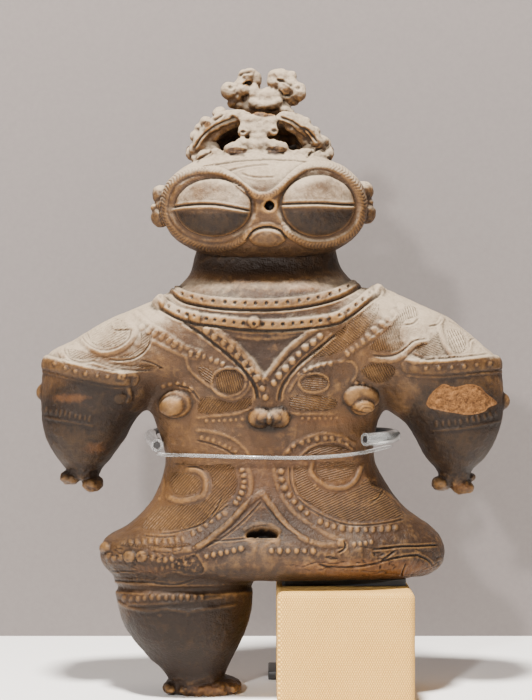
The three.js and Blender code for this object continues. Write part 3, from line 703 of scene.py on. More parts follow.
def carve_round(skin):
    """The collars, hems and bands that run on round the back."""
    skin.ridge(COLLAR_UPPER, 5.4, 1.7, "round", 0.5)
    skin.row(COLLAR_UPPER, 10.4, 1.9, 1.9, -1.1, "round")
    skin.ridge(COLLAR_LOWER, 5.6, 2.0, "round", 0.5)
    skin.row(COLLAR_LOWER, 9.4, 2.0, 1.9, -1.1, "round")
    # A cut line under each collar, with painted shade in it.
    for collar in (COLLAR_UPPER, COLLAR_LOWER):
        skin.line([(x, y + 6.4) for x, y in collar], 1.5, 0.8)
    for hem in (HEM_LEFT, HEM_RIGHT):
        skin.ridge(hem, 7.4, 1.9, "round", 0.45)
        skin.ridge([(x, y + 9.2) for x, y in hem], 2.0, 0.5, "round")
    skin.ridge(LEG_CREASE, 4.5, -1.6, "leg", 1.0)


BACK_RIDGES = [
    [(150, 330), (190, 350), (230, 372), (268, 392)],
    [(386, 330), (346, 350), (306, 372), (268, 392)],
    [(205, 470), (192, 466), (178, 474), (176, 490), (190, 502), (210, 500), (226, 488), (228, 468),
     (214, 448)],
    [(331, 470), (344, 466), (358, 474), (360, 490), (346, 502), (326, 500), (310, 488), (308, 468),
     (322, 448)],
    [(246, 466), (250, 490), (238, 514), (212, 534), (176, 546), (130, 548)],
    [(290, 466), (286, 490), (298, 514), (324, 534), (360, 546), (410, 546)],
    [(84, 336), (100, 322), (122, 328), (124, 344), (106, 352), (88, 346)],
    [(452, 336), (436, 322), (414, 328), (412, 344), (430, 352), (448, 346)],
]


def carve_back(skin):
    """Plain scrolls and straps behind."""
    for route in BACK_RIDGES:
        skin.ridge(route, 3.2, 0.8, "back")
    for route in (BACK_RIDGES[0], BACK_RIDGES[1]):
        skin.row([(x, y + 9) for x, y in route], 9, 3.2, 3.0, 0.9, "back")
    for x in (176, 360):
        skin.ridge([(x - 70, 552), (x, 553), (x + 70, 552)], 3.0, 0.8, "back")


# The outline where the skin has gone from the arm at the right.
ORANGE_PATCH = [(425, 404), (428, 396), (434, 389), (443, 383), (455, 386), (470, 383), (481, 386),
                (488, 393), (497, 400), (498, 405), (490, 408), (484, 413), (470, 416), (452, 414),
                (438, 411), (429, 409)]
# Rust-red stains: place, half sizes, how strong.
STAINS = [((70, 398), (24, 6), 0.8), ((365, 568), (80, 10), 1.1), ((462, 487), (12, 5), 0.8),
          ((208, 690), (26, 6), 0.7), ((300, 288), (26, 6), 0.8), ((290, 480), (150, 60), 0.5),
          ((96, 448), (14, 8), 0.6), ((330, 420), (60, 10), 0.6), ((150, 570), (30, 8), 0.5)]
# Where the dust lies thicker, and below nought where it doesn't reach, as on the neck, which also gets
# painted shade under the chin: place, half sizes, how much.
PALES = [((262, 262), (120, 20), -0.9), ((250, 335), (60, 22), -0.2), ((262, 306), (92, 20), -0.2),
         ((262, 345), (115, 50), 0.3), ((160, 310), (40, 16), 0.2), ((385, 300), (50, 16), 0.2),
         ((265, 312), (110, 8), 0.1)]
# Smoke-blackened clay and painted shade: both on the arms and the leg, and painted shade under the chin, the
# hip and the navel, beside the arms and in the belly hole: place, half sizes, how dark.
SMOKE_AND_SHADE_PATCHES = [((86, 430), (66, 62), 1.0), ((458, 430), (66, 62), 1.0), ((400, 556), (56, 20), 0.4),
         ((186, 640), (90, 54), 0.9), ((262, 262), (120, 16), 0.8), ((140, 574), (70, 16), 0.6),
         ((262, 350), (30, 14), 0.15), ((230, 580), (150, 14), 0.6), ((380, 575), (80, 8), 0.5),
         ((268, 500), (22, 30), 0.3), ((150, 420), (20, 60), 0.4), ((392, 420), (20, 60), 0.4),
         ((262, 533), (24, 10), 0.95), ((269, 425), (19, 8), 0.95)]
# The upper edge of the hems: the dust lies above it, and below it the clay is dark with smoke and painted
# shade.
HEM_EDGE = [(36, 357), (52, 360), (70, 365), (90, 370), (112, 374), (132, 376), (165, 371), (185, 352),
            (205, 330), (330, 330), (352, 346), (385, 364), (408, 362), (430, 363.5), (455, 362.5),
            (480, 360), (508, 357)]
# How far across the middle of the body is.
BODY_MIDDLE = 268


def paint_body(skin):
    """Where the skin has gone from the clay, and where it is stained, dusty, smoke-blackened and in painted
    shade.
    """
    hem_edge = np.interp(skin.across, *np.array(HEM_EDGE).T)
    from_middle = np.abs(skin.across - BODY_MIDDLE)
    above = 1 - soft_step(skin.down, hem_edge - 3, hem_edge + 1)
    skin.pale += 0.5 * (soft_step(from_middle, 85, 135) * above)
    # Below the hems, on the arms: less dust, and smoke-blackening with painted shade under the hems.
    below = soft_step(from_middle, 110, 135) * soft_step(skin.down, hem_edge, hem_edge + 3)
    skin.pale -= 0.5 * below
    skin.smoke_and_shade = 0.35 * below
    for middle, reach, strength in SMOKE_AND_SHADE_PATCHES:
        skin.smoke_and_shade = np.maximum(skin.smoke_and_shade, strength * skin.patch(middle, reach, 0.6, 1.15))
    skin.bare = soft_step(skin.inside(ORANGE_PATCH), 0, 3) * 0.8 * skin.front
    for middle, reach, strength in STAINS:
        stain = strength * np.clip(1.3 - skin.spread(middle, reach), 0, 1) * skin.front
        skin.stain = np.maximum(skin.stain, stain)
    for middle, reach, strength in PALES:
        skin.pale += strength * skin.patch(middle, reach, 0.5, 1.3)


# Where the clay is broken, at the toes and both hands, and where it is rough, at both sides of the hip.
BROKEN = [((208, 692), (60, 14)), ((83, 482), (34, 14)), ((455, 485), (34, 14))]
UNDER_HIP = ((370, 562), (90, 18))
LEFT_HIP = ((150, 560), (60, 22))


def roughen_body(skin):
    """The hand-made unevenness, coarser at the broken hands and toes and under the hip."""
    skin.rough(0.35, 0.009)
    broken = np.max([skin.patch(*sizes, 0.8, 1.1) for sizes in BROKEN], axis=0)
    skin.rough(1.0 * broken, 0.006, 5.0)
    hip = skin.patch(*UNDER_HIP, 0.6, 1.1) * skin.front
    left = skin.patch(*LEFT_HIP, 0.6, 1.1) * skin.front
    skin.rough(0.6 * np.maximum(hip, left * 0.7), 0.005, 9.0)
    skin.crackle(0.7 * hip, 0.007, 2.0)
    skin.crackle(0.5 * left, 0.006, 6.0)


# The face: the beaded rim, the two closed lids, the nostril and the mouth.
RIM = [
    (250, 232), (241, 240), (228, 245.5), (212, 247.5), (195, 244), (180, 236.5), (169, 226), (164, 213),
    (164.5, 200), (169, 188), (178, 178.5), (190, 173), (205, 170.5), (220, 171.5), (232, 177.5),
    (244, 187.5), (254, 194.5), (264, 196.5), (273, 193.5), (283, 185.5), (292, 176.5), (302, 169),
    (315, 165.5), (330, 167), (343, 173), (353, 183), (360, 194), (362.5, 207), (361, 220), (354, 231),
    (343, 238.5), (330, 243.5), (316, 244.5), (302, 241), (291, 234.5), (284, 227),
]
LIDS = [
    {"middle": (213, 208), "reach": (38.5, 29.5),
     "slit": [(172, 207.5), (195, 205), (215, 205), (235, 208), (250, 211)]},
    {"middle": (318.5, 206), "reach": (37, 31.5),
     "slit": [(281, 204.5), (300, 204), (320, 204), (340, 205), (356, 205)]},
]
NOSTRIL, NOSTRIL_RADIUS = (269.5, 205.5), 5.6
# The lips' place and half sizes, the ridge over them and the line between them.
LIP = ((267.5, 237), (19, 9))
MOUTH_RIDGE = [(243, 238), (252, 229), (262, 224.5), (272, 224.5), (282, 229), (290, 236)]
MOUTH_LINE = [(246, 240), (253, 231.5), (262, 227.5), (272, 227.5), (281, 231.5), (288, 239)]
BROW_CREASES = [
    [(200, 168), (213, 165), (240, 161), (265, 159.5), (290, 160), (308, 162)],
    [(228, 171), (250, 166), (270, 164.5)],
    [(240, 173), (255, 177.5), (275, 177)],
]
BROW_DEPTHS = (0.9, 0.5, 0.35)
SCRATCHES = [[(306, 194), (309, 199)], [(310, 194), (312, 199)], [(303, 195), (305, 200)]]

# The brow's place and half sizes, and how far across the middle of the head is.
BROW = ((268, 168), (70, 24))
HEAD_CENTRE = 262
# Painted shade in the hollows and on the undersides of the crown: place, half sizes, how dark.
CROWN_PAINTED_SHADE = [((237, 151.5), (12, 4.5), 0.7), ((276, 150.5), (12, 4.5), 0.7),
                ((265, 112.5), (15, 4.5), 1.0), ((295, 101), (9, 5), 0.8), ((230, 102), (7, 4), 0.8),
                ((243, 98), (5, 6), 0.5), ((247.5, 83), (5, 3), 0.9), ((287, 92), (6, 4), 0.5),
                ((303, 134), (14, 7), 0.4), ((207, 124), (4, 4), 0.5)]
# Spots of red pigment on the crown and the brow: place and half sizes.
RED_SPOTS = [((253, 113), (6, 3)), ((262, 163), (20, 3)), ((236, 120), (5, 3))]


def roughen_head(skin):
    """Rough clay on the crown and the ears, smoother clay on the face."""
    skin.rough(0.35, 0.008)
    crown = 1 - soft_step(skin.down, 156, 166)
    skin.rough(0.7 * crown, 0.0055, 3.0)
    ears = soft_step(np.abs(skin.across - HEAD_CENTRE), 96, 102)
    skin.rough(0.45 * ears, 0.006, 4.0)


def paint_head(skin):
    """Dust on the crown, the brow and the lids, and painted shade inside the crown, in its hollows, below
    the lids and under the chin.
    """
    crown = 1 - soft_step(skin.down, 158, 166)
    chin = soft_step(skin.down, 240, 250)
    # Painted shade on the neck under the chin, where the dust is also thinner.
    skin.smoke_and_shade = 0.6 * chin
    skin.pale -= 0.5 * chin
    # Painted shade inside the crown's openings, with no dust there.
    inner = crown * soft_step(-skin.depth, -12, 2) * soft_step(skin.down, 114, 120)
    skin.darken(0.9 * inner)
    skin.pale += 0.4 * crown - 2.0 * inner
    skin.pale += 0.35 * (skin.patch(*BROW, 0.6, 1.1) * skin.front)
    for lid in LIDS:
        share = skin.spread(lid["middle"], lid["reach"])
        lower = skin.down - lid["middle"][1]
        on_lid = (1 - soft_step(share, 0.9, 1.0)) * skin.front
        # Painted shade on the lower lid, under the upper one.
        below = soft_step(lower, 0, 8)
        skin.smoke_and_shade = np.maximum(skin.smoke_and_shade, on_lid * (0.1 + 0.74 * below))
        rising = soft_step(lower, -26, -8)
        skin.pale += on_lid * (0.3 * rising - 0.9 * below)
        ledge = np.exp(-((share - 1.1) / 0.08) ** 2) * soft_step(lower, -10, 12)
        skin.pale += 0.35 * ledge * skin.front
    skin.pale += 0.2 * skin.patch(*LIP, 0.7, 1.1) * skin.front
    # Painted shade in the crown's hollows and under its bars.
    for middle, reach, strength in CROWN_PAINTED_SHADE:
        shaded = skin.patch(middle, reach, 0.6, 1.1)
        skin.pale -= 1.6 * strength * shaded
        skin.darken(0.55 * strength * shaded)
    red = np.max([np.clip(1.2 - skin.spread(*sizes), 0, 1) for sizes in RED_SPOTS], axis=0)
    skin.stain = np.maximum(skin.stain, 1.2 * red)


def carve_face(skin):
    """The notched rim, the two domed lids with their slits, the nostril, the mouth and the brow."""
    skin.ridge(RIM, 4.2, 1.8, fall=0.5)
    skin.notched(RIM, 3.3, 4.2, 0.42, 0.8)
    for lid in LIDS:
        share = skin.spread(lid["middle"], lid["reach"])
        inside = 1 - soft_step(share, 1.02, 1.16)
        skin.raised -= 1.3 * inside * skin.front
        dome = np.clip(1 - share ** 2, 0, 1) ** 0.46
        skin.raised += 4.6 * dome * skin.front
        # Painted shade in a thin line round each lid, darker along its upper edge.
        upper = soft_step(lid["middle"][1] - skin.down, -12, 12)
        edge = np.exp(-((share - 1.0) / 0.025) ** 2) * (0.25 + 0.55 * upper)
        skin.darken(edge * skin.front)
        skin.line(lid["slit"], 1.3, 1.1)
        skin.ridge([(x, y + 3.0) for x, y in lid["slit"]], 1.8, 0.4)
    gap = np.hypot(skin.across - NOSTRIL[0], skin.down - NOSTRIL[1])
    hole = soft_step(-gap, -NOSTRIL_RADIUS, -NOSTRIL_RADIUS * 0.62) * skin.front
    skin.raised -= 8 * hole
    skin.darken(2 * hole)
    skin.ridge(MOUTH_RIDGE, 2.2, 0.7)
    skin.raised += 3.4 * np.clip(1 - skin.spread(*LIP) ** 2, 0, 1) ** 0.5 * skin.front
    skin.line(MOUTH_LINE, 1.4, 0.8)
    for route in SCRATCHES:
        skin.line(route, 0.8, 0.3)
    for route, depth in zip(BROW_CREASES, BROW_DEPTHS):
        skin.line(route, 1.1, depth)


# The crown: bars and knobs of clay, as place across and down in the photograph and depth in front of the
# axis in thousandths of the height, with a radius in pixels.
CROWN_BARS = [
    [(252, 117, 40, 5), (240, 116, 44, 6.5), (226, 118, 46, 7), (213, 125, 44, 6.5), (203, 136, 38, 6),
     (197, 150, 30, 7)],
    [(276, 118, 44, 6), (290, 119, 46, 6.5), (303, 125, 44, 6.5), (313, 135, 40, 6), (320, 148, 32, 7)],
    [(240, 123, 42, 4.5), (226, 126, 38, 5.5), (214, 135, 32, 5.5), (207, 144, 26, 6), (204, 153, 20, 7)],
    [(284, 123, 40, 4), (296, 130, 36, 5.5), (305, 139, 30, 6), (311, 148, 24, 6), (314, 154, 18, 7)],
    [(197, 157, 34, 7), (214, 158, 50, 7), (240, 157, 62, 6), (266, 156, 66, 6), (292, 156, 60, 6),
     (310, 157, 46, 7), (322, 157, 30, 7)],
    [(197, 155, 20, 8), (194, 152, -6, 8), (204, 152, -36, 8), (232, 152, -60, 8), (262, 152, -66, 8),
     (292, 152, -60, 8), (318, 152, -36, 8), (326, 152, -6, 8), (321, 155, 20, 8)],
    [(216, 156, -30, 6), (226, 134, -40, 7), (246, 118, -26, 7), (262, 112, -6, 8)],
    [(308, 156, -30, 6), (298, 134, -40, 7), (278, 118, -26, 7), (262, 112, -6, 8)],
    [(262, 156, -58, 7), (262, 134, -54, 8), (262, 116, -26, 8)],
    [(249, 100, 12, 5), (259, 105, 19, 5.5), (273, 104.5, 18, 5.5), (282, 99, 12, 5)],
    [(262, 128, 2, 14), (262, 116, 4, 11), (262, 108, 6, 9)],
    [(247, 96, -8, 6), (262, 100, -12, 6), (277, 96, -8, 6)],
    [(214, 146, -22, 9), (226, 128, -26, 12), (262, 120, -24, 14), (298, 128, -26, 12), (310, 146, -22, 9)],
    [(236, 100, 4, 7), (243, 84, 6, 7), (247, 77, 6, 7)],
    [(288, 100, 4, 7), (284, 86, 6, 7), (281, 78, 6, 7)],
]
CROWN_KNOBS = [
    ((262, 136, -34), (46, 13, 16)), ((267, 97, 9), (17, 9, 14)),
    ((236, 97, 6), (8, 7, 14)), ((292, 99, 6), (8, 7, 14)), ((250, 72, 8), (6, 4, 10)),
    ((248, 121, 55), (9, 7, 7)), ((259, 119, 56), (11, 7, 7)), ((270, 121, 55), (8, 7, 7)),
    ((246, 129, 57), (8, 8, 7)), ((258, 129, 58), (12, 9, 7)), ((270, 129, 57), (8, 8, 7)),
    ((258, 138, 60), (9, 8, 7)), ((243, 144, 64), (9, 6, 8)), ((236, 149, 66), (12, 7.5, 9)),
    ((229, 151, 64), (6, 6.5, 9)), ((270, 144, 64), (9, 5, 8)), ((277, 147.5, 66), (11, 6.5, 9)),
    ((284, 148, 64), (5, 6, 9)), ((257, 146, 64), (12, 7, 8)), ((240, 105, 4), (8, 6, 10)),
    ((285, 109, 10), (7, 5.5, 10)), ((247, 99, -2), (9, 9, 12)), ((253, 86, 0), (8, 10, 12)),
    ((250, 108, 0), (12, 7, 12)), ((272, 110, 0), (12, 7, 12)), ((279, 97, -2), (9, 10, 12)),
    ((241, 83, 12), (6, 6, 10)), ((254, 92, 14), (6, 8, 10)), ((274, 82, 10), (7, 7, 12)),
    ((289, 76, 6), (8, 6, 12)), ((212, 150, 26), (9, 8, 16)), ((204, 146, 24), (8, 10, 16)),
    ((312, 150, 26), (10, 7, 16)), ((318, 147, 22), (8, 10, 16)), ((208, 157, 30), (12, 6, 18)),
    ((316, 157, 30), (14, 6, 18)), ((199, 128, 26), (5, 5, 10)), ((315, 131, 26), (6, 5, 12)),
    ((229, 91, 14), (9, 9, 14)), ((246, 77, 8), (9, 8, 14)), ((255, 80, 4), (7, 9, 12)),
    ((243, 90, 16), (7, 6, 10)),
    ((280, 77, 8), (12, 8.5, 14)), ((298, 92, 14), (8.5, 10, 14)), ((286, 88, 18), (8, 7, 12)),
    ((291, 84, 12), (8, 6, 12)), ((232, 104, 8), (5, 5, 10)), ((288, 112, 8), (6, 4, 10)),
    ((219, 113, 34), (6.5, 6, 12)), ((206, 122, 30), (6, 6, 12)), ((196, 136, 24), (6, 6, 12)),
    ((195, 150, 18), (6, 8, 16)), ((197, 160, 24), (6, 6, 14)), ((231, 116, 44), (8, 6, 10)),
    ((305, 123, 34), (6, 6, 12)), ((295, 118, 36), (8, 5, 10)), ((321, 141, 24), (8, 6, 12)),
    ((328, 154, 16), (6.5, 7, 14)), ((324, 146, 10), (7, 9, 14)), ((305, 152, 50), (7, 4.5, 10)),
    ((215, 153, 52), (6, 4.5, 10)), ((243, 132, 61), (5.5, 5, 7)), ((273, 131, 61), (5, 5, 7)),
]
EARS = [((161, 195, -10), (9, 10, 20)), ((161, 217, -10), (10, 11, 20)), ((164, 206, -8), (9, 12, 18)),
        ((363, 192, -10), (10.5, 11, 20)), ((365, 213, -10), (10.5, 11.5, 20)),
        ((362, 203, -8), (9, 12, 18)), ((155, 208, -8), (4, 4, 10)), ((370, 203, -8), (4, 4, 10))]
CROWN_PITS = [(243, 132), (274, 131), (231, 87), (248, 83), (298, 88), (233, 118)]
CROWN_CREASES = [
    [(194, 149), (201, 138), (211, 129), (224, 122), (238, 119)],
    [(213, 121), (219, 118), (224, 114)],
    [(280, 117), (292, 122), (304, 131), (313, 143)],
    [(300, 127), (308, 131), (318, 143)],
    [(196, 163), (204, 156), (212, 151)], [(306, 158), (313, 152), (322, 148)],
    [(228, 154), (237, 155), (246, 155)], [(266, 153), (276, 154), (286, 153)],
    [(242, 86), (246, 83), (252, 82)], [(238, 77), (244, 73), (252, 73)], [(276, 80), (286, 82), (293, 87)],
    [(278, 90), (284, 95), (291, 96)],
]


def knob(spot, reach):
    """A lump of clay seen at a pixel, with half sizes in pixels across and down and in shares deep."""
    middle = (from_photo(*spot) - AXIS) / SHARE
    across, high = (size * PIXEL / SHARE for size in reach[:2])
    return ball(middle, (across, reach[2], high))


def bar(stops):
    """A rod of clay through stops of the crown's table."""
    route = [from_photo(across, down, depth) for across, down, depth, _ in stops]
    return rod(route, [stop[3] * PIXEL for stop in stops], sides=14, steps=4)


def carve_crown(skin):
    """Pits in the knobs, and the creases where bars and knobs meet."""
    for middle in CROWN_PITS:
        skin.dome(middle, (3.2, 2.4), -1.3)
        skin.darken(0.8 * np.clip(1 - skin.spread(middle, (3, 2.2)), 0, 1) * skin.front)
    for route in CROWN_CREASES:
        skin.line(route, 1.3, 1.0)


# The skin: the most triangles of a piece, and the sizes of the voxels that it is fused with, in metres.
MOST_TRIANGLES = 192000
GRAIN = {"head": 0.00062, "body": 0.00064}
BLEND_GRAIN = 0.0015
# The seam between the upper and lower body, and how near to it the skin keeps its triangles.
SEAM = 381 * SHARE
SEAM_CARE = 0.0015
# What is further from the axis than this, and higher than that, is an arm.
ARM_INSIDE, ARM_LOW = 0.075, 0.108


def grain_of(part):
    return GRAIN[part]


def raise_carving(piece, carvings):
    """Raises the carving from a smooth skin, and keeps it above the floor."""
    mesh = piece.data
    edges = edges_of(mesh)
    set_points(mesh, averaged(points_of(mesh), edges, 3))
    skin = Carving(mesh)
    for carve in carvings:
        carve(skin)
    way = averaged(normals_of(mesh), edges, 3)
    way /= np.linalg.norm(way, axis=1)[:, None]
    places = points_of(mesh) + way * skin.raised[:, None] / 1000
    places[:, 2] = np.maximum(places[:, 2], 0)
    set_points(mesh, places)


def cut_at_waist(piece):
    """The skin in two pieces, with the seam round the waist under the clear line."""
    mesh = piece.data
    mesh.calc_loop_triangles()
    corners = np.empty(len(mesh.loop_triangles) * 3, np.int32)
    mesh.loop_triangles.foreach_get("vertices", corners)
    corners = corners.reshape(-1, 3)
    points = points_of(mesh)
    x, _, z = points[corners].mean(1).T
    upper = (z > SEAM) | ((np.abs(x - AXIS[0]) > ARM_INSIDE) & (z > ARM_LOW))
    halves = []
    for name, chosen in (("figurine_upper_body", upper), ("figurine_lower_body", ~upper)):
        used, faces = np.unique(corners[chosen], return_inverse=True)
        halves.append(new_object(name, points[used], faces.reshape(-1, 3).tolist()))
    bpy.data.objects.remove(piece)
    return halves


def thin_out(piece):
    """Fewer triangles where the skin is plain, and all of them along the seam."""
    count = sum(len(face.vertices) - 2 for face in piece.data.polygons)
    if count <= MOST_TRIANGLES:
        return
    x, _, z = points_of(piece.data).T
    at_seam = (np.abs(z - SEAM) < SEAM_CARE) & (np.abs(x - AXIS[0]) < ARM_INSIDE)
    piece.vertex_groups.new(name="free").add(np.flatnonzero(~at_seam).tolist(), 1.0, "REPLACE")
    with_modifier(piece, "DECIMATE", ratio=MOST_TRIANGLES / count, vertex_group="free")


def keep_marks(piece, carvings, paint):
    """Keeps what the finish reads at each point of the skin."""
    mesh = piece.data
    skin = Carving(mesh)
    for carve in carvings:
        carve(skin)
    paint(skin)
    edges = edges_of(mesh)
    way = normals_of(mesh)
    # How far each point stands out from its neighbours: it gives rubbed golden clay with a painted highlight
    # on ridges, and painted shade in hollows.
    ridge_wear_highlight_hollow_shade = ((skin.points - averaged(skin.points, edges, 9)) * way).sum(1) * 1000
    painted = {"ridge_wear_highlight_hollow_shade": ridge_wear_highlight_hollow_shade, "dark": skin.dark, "bare": skin.bare, "stain": skin.stain,
               "pale": skin.pale, "smoke_and_shade": skin.smoke_and_shade}
    for name, values in painted.items():
        mesh.attributes.new(name, "FLOAT", "POINT").data.foreach_set("value", values.astype(np.float32))
    weave = mesh.attributes.new("weave", "FLOAT_VECTOR", "POINT")
    weave.data.foreach_set("vector", skin.weave.astype(np.float32).ravel())
    mesh.polygons.foreach_set("use_smooth", np.ones(len(mesh.polygons), bool))
    mesh.update()
    return piece


def make_body():
    """The trunk, arms and leg blended softly, then the foot and the lumps, in one carved skin cut in two."""
    masses = [loft(slices, BODY_ROUNDNESS) for slices in (TRUNK, YOKE, LEFT_ARM, RIGHT_ARM, LEG)]
    piece = fused(joined("figurine_body", masses), BLEND_GRAIN)
    mesh = piece.data
    set_points(mesh, averaged(points_of(mesh), edges_of(mesh), 14))
    blended = (points_of(mesh), [tuple(face.vertices) for face in mesh.polygons])
    lumps = [ball(*sizes) for sizes in ARM_KNOBS + HANDS + TOES]
    whole = joined("figurine_body", [blended, loft(FOOT, BODY_ROUNDNESS), *lumps])
    bpy.data.objects.remove(piece)
    whole.name = "figurine_body"
    fused(whole, grain_of("body"))
    carvings = (roughen_body, carve_front, carve_round, carve_back)
    raise_carving(whole, carvings)
    halves = cut_at_waist(whole)
    for half in halves:
        thin_out(half)
        keep_marks(half, carvings, paint_body)
    return halves


def make_head():
    """The flat head with its ears and crown, in one carved skin."""
    skins = [head_mass()]
    skins += [knob(*sizes) for sizes in EARS + CROWN_KNOBS]
    skins += [bar(stops) for stops in CROWN_BARS]
    piece = fused(joined("figurine_head", skins), grain_of("head"))
    carvings = (roughen_head, carve_face, carve_crown)
    raise_carving(piece, carvings)
    thin_out(piece)
    return keep_marks(piece, carvings, paint_head)


# Shader maths: a socket that adds, multiplies and compares like a number.

class Term:
    def __init__(self, finish, socket):
        self.finish = finish
        self.socket = socket

    def math(self, operation, first, second=0.0, clamp=False):
        settings = {"operation": operation, "use_clamp": clamp}
        return self.finish.node("Math", settings, {0: first, 1: second})

    def __add__(self, other):
        return self.math("ADD", self, other)

    def __sub__(self, other):
        return self.math("SUBTRACT", self, other)

    def __mul__(self, other):
        return self.math("MULTIPLY", self, other)

    def __rsub__(self, other):
        return self.math("SUBTRACT", other, self)

    __radd__ = __add__

    def clamped(self):
        return self.math("ADD", self, 0.0, clamp=True)

    def wave(self):
        """From 0 to 1 and back once for each whole number."""
        return self.math("COSINE", self * (2 * math.pi)) * 0.5 + 0.5

    def step(self, low, high):
        """A soft step from 0 at the low value to 1 at the high one."""
        settings = {"interpolation_type": "SMOOTHSTEP"}
        return self.finish.node("MapRange", settings, {0: self, 1: low, 2: high})


class Finish:
    """One material and its nodes."""

    def __init__(self, name):
        self.material = bpy.data.materials.new(name)
        self.material.use_nodes = True
        self.tree = self.material.node_tree
        self.shader = self.tree.nodes["Principled BSDF"]

    def node(self, kind, settings=None, sockets=None, output=0):
        node = self.tree.nodes.new("ShaderNode" + kind)
        for key, value in (settings or {}).items():
            setattr(node, key, value)
        for key, value in (sockets or {}).items():
            self.feed(node.inputs[key], value)
        return Term(self, node.outputs[output])

    def feed(self, socket, value):
        if isinstance(value, Term):
            self.tree.links.new(value.socket, socket)
        else:
            socket.default_value = value

    def attribute(self, name, output="Fac"):
        return self.node("Attribute", {"attribute_name": name}, output=output)

    def places(self):
        return self.node("TexCoord", output="Object")

    def parts(self, vector):
        """The three numbers of a vector."""
        split = self.node("SeparateXYZ", sockets={0: vector}).socket.node
        return [Term(self, socket) for socket in split.outputs]

    def noise(self, scale, detail, roughness):
        sockets = {"Vector": self.places(), "Scale": scale, "Detail": detail, "Roughness": roughness}
        return self.node("TexNoise", sockets=sockets)

    def mix(self, share, first, second):
        """From the first colour to the second: the sockets are the share's and the two colours'."""
        first, second = (c if isinstance(c, Term) else (*c, 1) for c in (first, second))
        node = self.tree.nodes.new("ShaderNodeMix")
        node.data_type = "RGBA"
        for key, value in zip((0, 6, 7), (share, first, second)):
            self.feed(node.inputs[key], value)
        return Term(self, node.outputs[2])

    def bump(self, height, distance):
        return self.node("Bump", sockets={"Height": height, "Distance": distance, "Strength": 1.0})

    def set(self, **sockets):
        for name, value in sockets.items():
            self.feed(self.shader.inputs[name.replace("_", " ")], value)
        return self.material


# The clay's colours: the fired clay, the smoked clay that also stands for painted shade, the rubbed golden
# clay that also stands for a painted highlight, the stains, the dust, the bare clay and the painted shade in
# its cuts and holes.
DARK_BROWN, WARM_BROWN, GREY_BROWN = (0.027, 0.0135, 0.0075), (0.090, 0.043, 0.016), (0.050, 0.034, 0.024)
SMOKED_AND_SHADED, WORN_GOLD_AND_HIGHLIGHT, RUST = (0.0115, 0.0060, 0.0034), (0.34, 0.175, 0.055), (0.115, 0.046, 0.014)
THIN_DUST, THICK_DUST = (0.19, 0.14, 0.092), (0.47, 0.38, 0.28)
RAW_BROWN, RAW_ORANGE = (0.058, 0.024, 0.008), (0.235, 0.105, 0.034)
CUT_SHADE, HOLE_SHADE = (0.010, 0.006, 0.0035), (0.004, 0.003, 0.003)
# The clay shows more gold above the first height, and has more dust on it above the second.
GOLDEN_HEIGHT, DUSTY_HEIGHT = 0.06, 0.17


